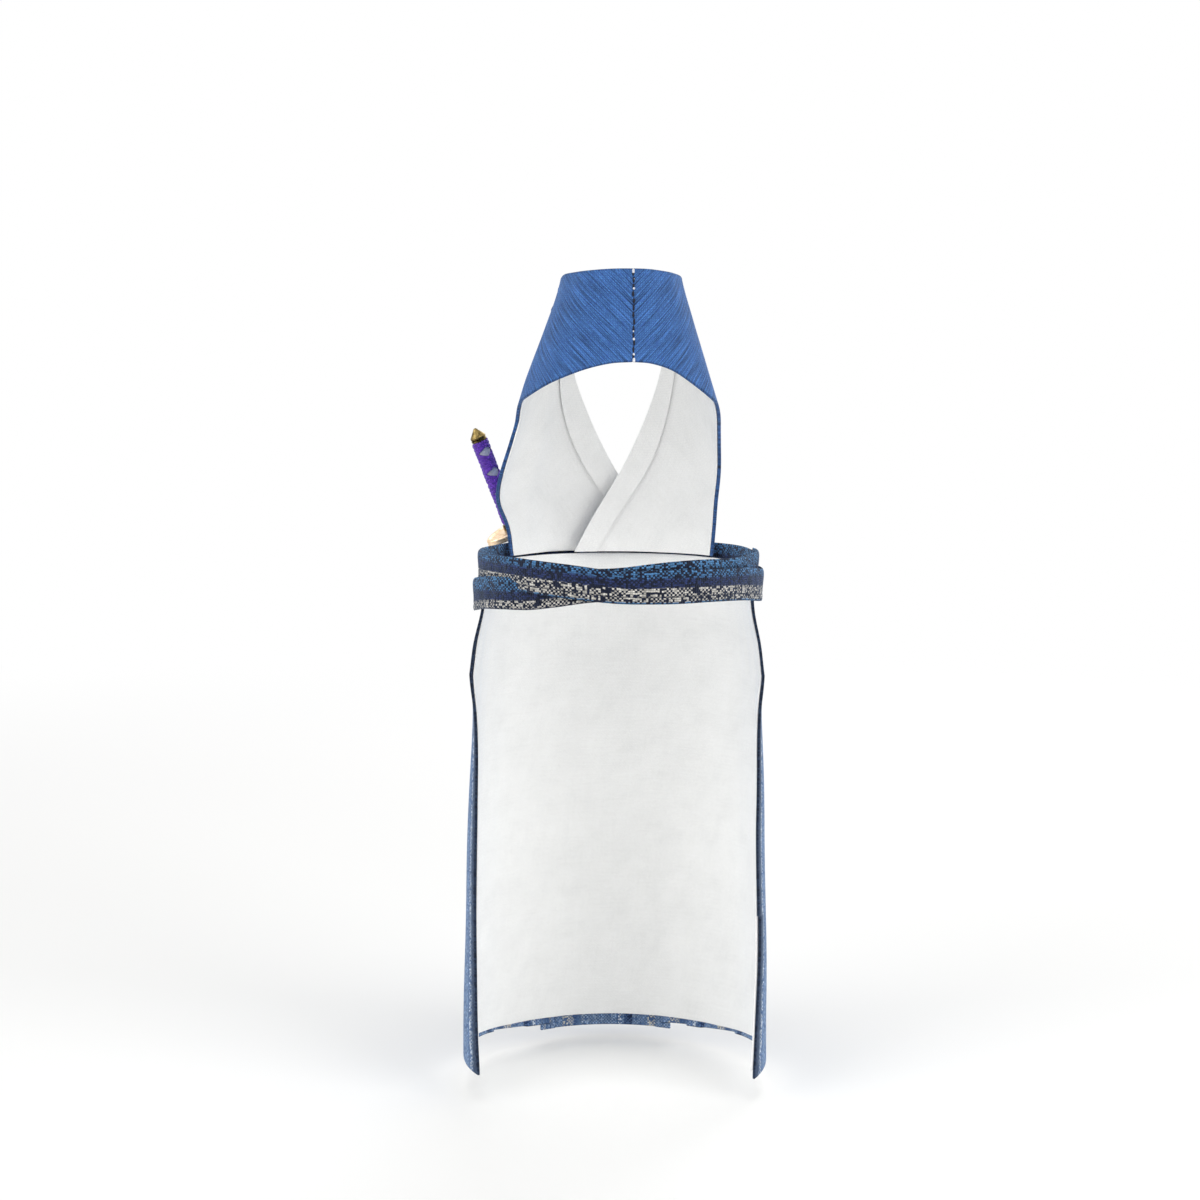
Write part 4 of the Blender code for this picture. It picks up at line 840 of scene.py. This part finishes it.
def make_tie_end(side, word):
    """One free end below the knot: it comes out gathered, spreads to full width and lies on the skirt."""
    y0, z0 = knot_middle()
    t = np.linspace(0.0, 1.0, 80)[:, None]
    v = ACROSS.T
    lean = math.radians(8.0 * side)
    long_side, full_width, cut_width, clear = 0.0280, 0.0090, 0.0096, 0.0010
    start = z0 - 0.0058
    spread = ease(t / 0.33)
    width = full_width * (0.62 * (1.0 - spread) + spread)
    along = t * long_side
    x = side * 0.0026 + along * math.sin(lean) + (v - 0.5) * width * math.cos(lean)
    z = start - along * math.cos(lean) + (v - 0.5) * width * math.sin(lean)
    z = np.minimum(z, start)
    front = BOTTLE_RADIUS * table(-z / COVER_DROP, SKIRT_DROP, SKIRT_FRONT)
    skin = front + LINING + 2.0 * LAYER_GAP + 2.0 * CLOTH + clear + PLEAT_ROOM + BELT_CLOTH / 2
    layer = (BELT_CLOTH + LAYER_GAP) * (side > 0)
    settle = ease(t / 0.71)
    gather = 0.00035 * np.cos(4.0 * math.pi * v) * (1.0 - spread)
    curl = 0.0005 * np.sin(3.0 * t + side) * (v - 0.5)
    y = (y0 + BELT_CLOTH / 2) * (1.0 - settle) + skin * settle + layer + gather + curl
    across = v if side > 0 else 1.0 - v
    uv = stacked(along * 1000.0, 2.2 + 1000.0 * BELT_WIDTH * across)
    made = cloth(f"tie_end_{word}", "striped_belt_cloth", stacked(x, y, z), PILLOW.T, uv)


# Sword.

HILT_LOW = 0.0030
HILT_LENGTH = 0.0268
HILT_WIDTH = 0.0052
HILT_DEPTH = 0.0043
WRAP_COUNT = 4
# How far the cords' middle lies inside the hilt's outline, and half a cord's thickness.
WRAP_INSET = 0.00030
CORD_HALF = 0.00016


def in_sword(points):
    """Points of the sword's own frame, put at the belt."""
    place = np.array(sword_frame())
    return points @ place[:3, :3].T + place[:3, 3]


def wrap_band(turn, k, pitch):
    """One flat cord once round the hilt: its angle, its height and how far out it lies.

    The two cords climb in opposite ways by one pitch a turn, so they cross on both broad faces. There one of
    them goes over the other, by turns, which the cosine of the angle gives.
    """
    theta = np.linspace(-0.5 * math.pi, 1.5 * math.pi, 97)[:, None]
    v = np.linspace(-1.0, 1.0, 17)[None, :]
    share = (theta + 0.5 * math.pi) / (2.0 * math.pi)
    middle = HILT_LOW + pitch * (k + (share if turn > 0 else 1.0 - share))
    flat = np.abs(np.sin(theta)) ** 1.5
    wide = pitch * (0.290 - 0.010 * flat)
    over = 0.5 - 0.5 * np.cos(theta - 0.5 * math.pi) * (1 if (k % 2 == 0) == (turn > 0) else -1)
    ridge = 0.00008 * np.cos(3.0 * math.pi * v) + 0.00005 * np.cos(44.0 * theta + 6.0 * v)
    lift = 0.00012 + 0.00034 * over * flat + ridge
    x = (HILT_WIDTH / 2 - WRAP_INSET + lift) * np.cos(theta)
    y = (HILT_DEPTH / 2 - WRAP_INSET + lift) * np.sin(theta)
    return stacked(x, y, np.clip(middle + wide * v, HILT_LOW, HILT_LOW + HILT_LENGTH))


def make_hilt():
    """Ray-skin core under two crossing silk cords, which leave a row of diamond windows on each broad face."""
    around = one_turn(64)
    z = HILT_LOW + HILT_LENGTH * np.linspace(0.0, 1.0, 9)[:, None]
    inset = 1.5 * WRAP_INSET
    x = (HILT_WIDTH / 2 - inset) * np.cos(around)
    y = (HILT_DEPTH / 2 - inset) * np.sin(around)
    core = tube("hilt_core_skin", in_sword(stacked(x, y, z)), RAY_SKIN)
    put(core, "sword", "pale_ray_skin", "hilt_core")
    pitch = HILT_LENGTH / WRAP_COUNT
    points, faces, uv, count = [], [], [], 0
    for turn in (-1, 1):
        for k in range(WRAP_COUNT):
            grid = wrap_band(turn, k, pitch)
            rows, columns = grid.shape[:2]
            normal = normals(grid)
            index = np.arange(rows * columns).reshape(rows, columns) + count
            both = np.concatenate([index, index[:, ::-1] + rows * columns, index[:, :1]], axis=1)
            points += [(grid + way * normal * CORD_HALF).reshape(-1, 3) for way in (1, -1)]
            faces.append(quads(both))
            uv += [stacked(steps(grid, 0) + 7.0 * count, steps(grid, 1)).reshape(-1, 2)] * 2
            count += 2 * rows * columns
    points = in_sword(np.concatenate(points))
    cord = mesh_object("hilt_wrap_cords", points, np.concatenate(faces), np.concatenate(uv), PURPLE_SILK)
    put(cord, "sword", "purple_silk_cord", "hilt_wrap")


def make_guard():
    """The guard: a plate whose outline has four shallow lobes, with a raised rim and a sunk, grooved field.

    Its radius is the oval's times 1 - 0.030 (1 - cos 4 theta), and its height across the radius goes up at the
    rim and dips inside it by a row of fine radial grooves.
    """
    around = one_turn(144)
    lobe = 1.0 - 0.030 * (1.0 - np.cos(4.0 * around))
    groove = 0.00006 * np.cos(24.0 * around)
    rows = np.array([
        (0.28, -0.00078, 0.0), (0.80, -0.00078, 0.0), (0.86, -0.00090, 0.0), (0.97, -0.00090, 0.0),
        (0.995, -0.00070, 0.0), (1.0, -0.00040, 0.0), (0.985, 0.0, 0.0), (1.0, 0.00040, 0.0),
        (0.995, 0.00070, 0.0), (0.97, 0.00090, 0.0), (0.87, 0.00090, 0.0), (0.83, 0.00066, 0.3),
        (0.76, 0.00060, 1.0), (0.50, 0.00060, 1.0), (0.42, 0.00062, 0.0), (0.28, 0.00060, 0.0),
    ])
    share, height, grooved = rows[:, :1], rows[:, 1:2], rows[:, 2:]
    half_width, half_depth = 0.0100, 0.0061
    x = half_width * share * lobe * np.cos(around)
    y = half_depth * share * lobe * np.sin(around)
    made = tube("guard_plate", in_sword(stacked(x, y, height + grooved * groove)), PALE_GOLD, sharp=40.0)
    put(made, "sword", "pale_gold_plate", "guard")


def finish_nodes():
    """Gives each CAD piece that stays its own finish."""
    finishes = {
        "scabbard": BLACK_LACQUER, "scabbard_mouth_ring": DARK_HORN, "scabbard_tip_cap": DARK_HORN,
        "blade": BLADE_STEEL, "blade_collar": AGED_BRASS, "hilt_collar": AGED_BRASS, "pommel_cap": AGED_BRASS,
    }
    for part, finish in finishes.items():
        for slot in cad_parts[part].material_slots:
            slot.material = finish


# Studio.

FLOOR_HEIGHT = -0.2402


def where_seen(node):
    """1 for what the camera, a reflection or a refraction looks at, and 0 for the light on the object."""
    path = node("LightPath", take=None)
    seen = node("Math", (path["Is Camera Ray"], path["Is Glossy Ray"]), operation="MAXIMUM")
    return node("Math", (seen, path["Is Transmission Ray"]), operation="MAXIMUM")


def make_studio():
    """A pale floor that runs into a white surround, with soft lamps on both sides, in front and above."""
    floor_mesh = bpy.data.meshes.new("studio_floor")
    corners = [(x, y, FLOOR_HEIGHT) for x, y in ((-2.5, -2.5), (2.5, -2.5), (2.5, 2.5), (-2.5, 2.5))]
    floor_mesh.from_pydata(corners, [], [(0, 1, 2, 3)])
    floor = new_object("studio_floor", floor_mesh)
    # Seamless paper: matt and almost white, and further out it runs into the white surround.
    paper, node, shader = new_finish("matt studio paper", 0.9, specular=0.2)
    grain = node("TexNoise", {"Scale": 6.0})
    node("ValToRGB", (grain,), ramp=((0.3, "#F8F8F7"), (0.7, "#FBFBFA")), into=shader.inputs["Base Color"])
    away = node("VectorMath", (node("TexCoord", take="Object"),), take=1, operation="LENGTH")
    far = node("MapRange", (away, 0.30, 0.95), interpolation_type="SMOOTHSTEP")
    far = node("Math", (far, where_seen(node)), operation="MULTIPLY")
    white = node("Emission", ((1.0, 1.0, 1.0, 1.0), 1.0))
    surface = paper.node_tree.nodes["Material Output"].inputs["Surface"]
    node("MixShader", (far, shader.outputs[0], white), into=surface)
    floor_mesh.materials.append(paper)
    aim = Vector((0.0, 0.0, -0.10))
    for name, place, size, power in (
        ("soft_left", (-0.80, -0.60, 0.35), 0.7, 3.6),
        ("soft_right", (0.80, -0.60, 0.35), 0.7, 4.2),
        ("soft_front", (0.25, 0.95, 0.45), 0.8, 4.2),
        ("soft_top", (0.0, -0.2, 1.1), 0.9, 4.6),
    ):
        lamp = bpy.data.lights.new(name, "AREA")
        lamp.size = size
        lamp.energy = power
        holder = new_object(name, lamp)
        holder.location = place
        holder.rotation_euler = (aim - Vector(place)).to_track_quat("-Z", "Y").to_euler()
    world = bpy.data.worlds.new("studio surround")
    bpy.context.scene.world = world
    world.use_nodes = True
    back = world.node_tree.nodes["Background"]
    back.inputs["Color"].default_value = (1.0, 1.0, 1.0, 1.0)
    node = functools.partial(add, world.node_tree)
    node("Math", (where_seen(node), 0.54, 0.46), into=back.inputs["Strength"], operation="MULTIPLY_ADD")


def make_camera():
    """The camera behind the dress, level with its collar, pitched down a little and barely rolled.

    The picture's side and the focal length are in pixels of the picture, and the sensor is in millimetres.
    """
    picture_side, focal_length, sensor = 1200.0, 2341.0, 36.0
    pitch_down, roll = 6.77, 0.35
    data = bpy.data.cameras.new("picture_camera")
    data.sensor_width = sensor
    data.lens = focal_length / picture_side * sensor
    data.clip_start = 0.01
    camera = new_object("picture_camera", data)
    camera.location = (-0.00527, -0.6825, -0.013)
    look = Matrix.Rotation(math.radians(90.0 - pitch_down), 4, "X")
    camera.rotation_euler = (look @ Matrix.Rotation(math.radians(roll), 4, "Z")).to_euler()
    bpy.context.scene.camera = camera


make_camera()
make_studio()
for side, word in SIDES:
    make_jacket(side, word)
    make_side_panel(side, word)
make_seam()
make_centre_pleat()
make_skirt_lining()
make_waistband()
make_tie("a", 1, TIE_A, 2.2)
make_tie("b", -1, TIE_B, 0.3)
make_knot()
for side, word in SIDES:
    make_tie_end(side, word)
make_hilt()
make_guard()
finish_nodes()

bpy.context.scene.view_settings.view_transform = "Standard"
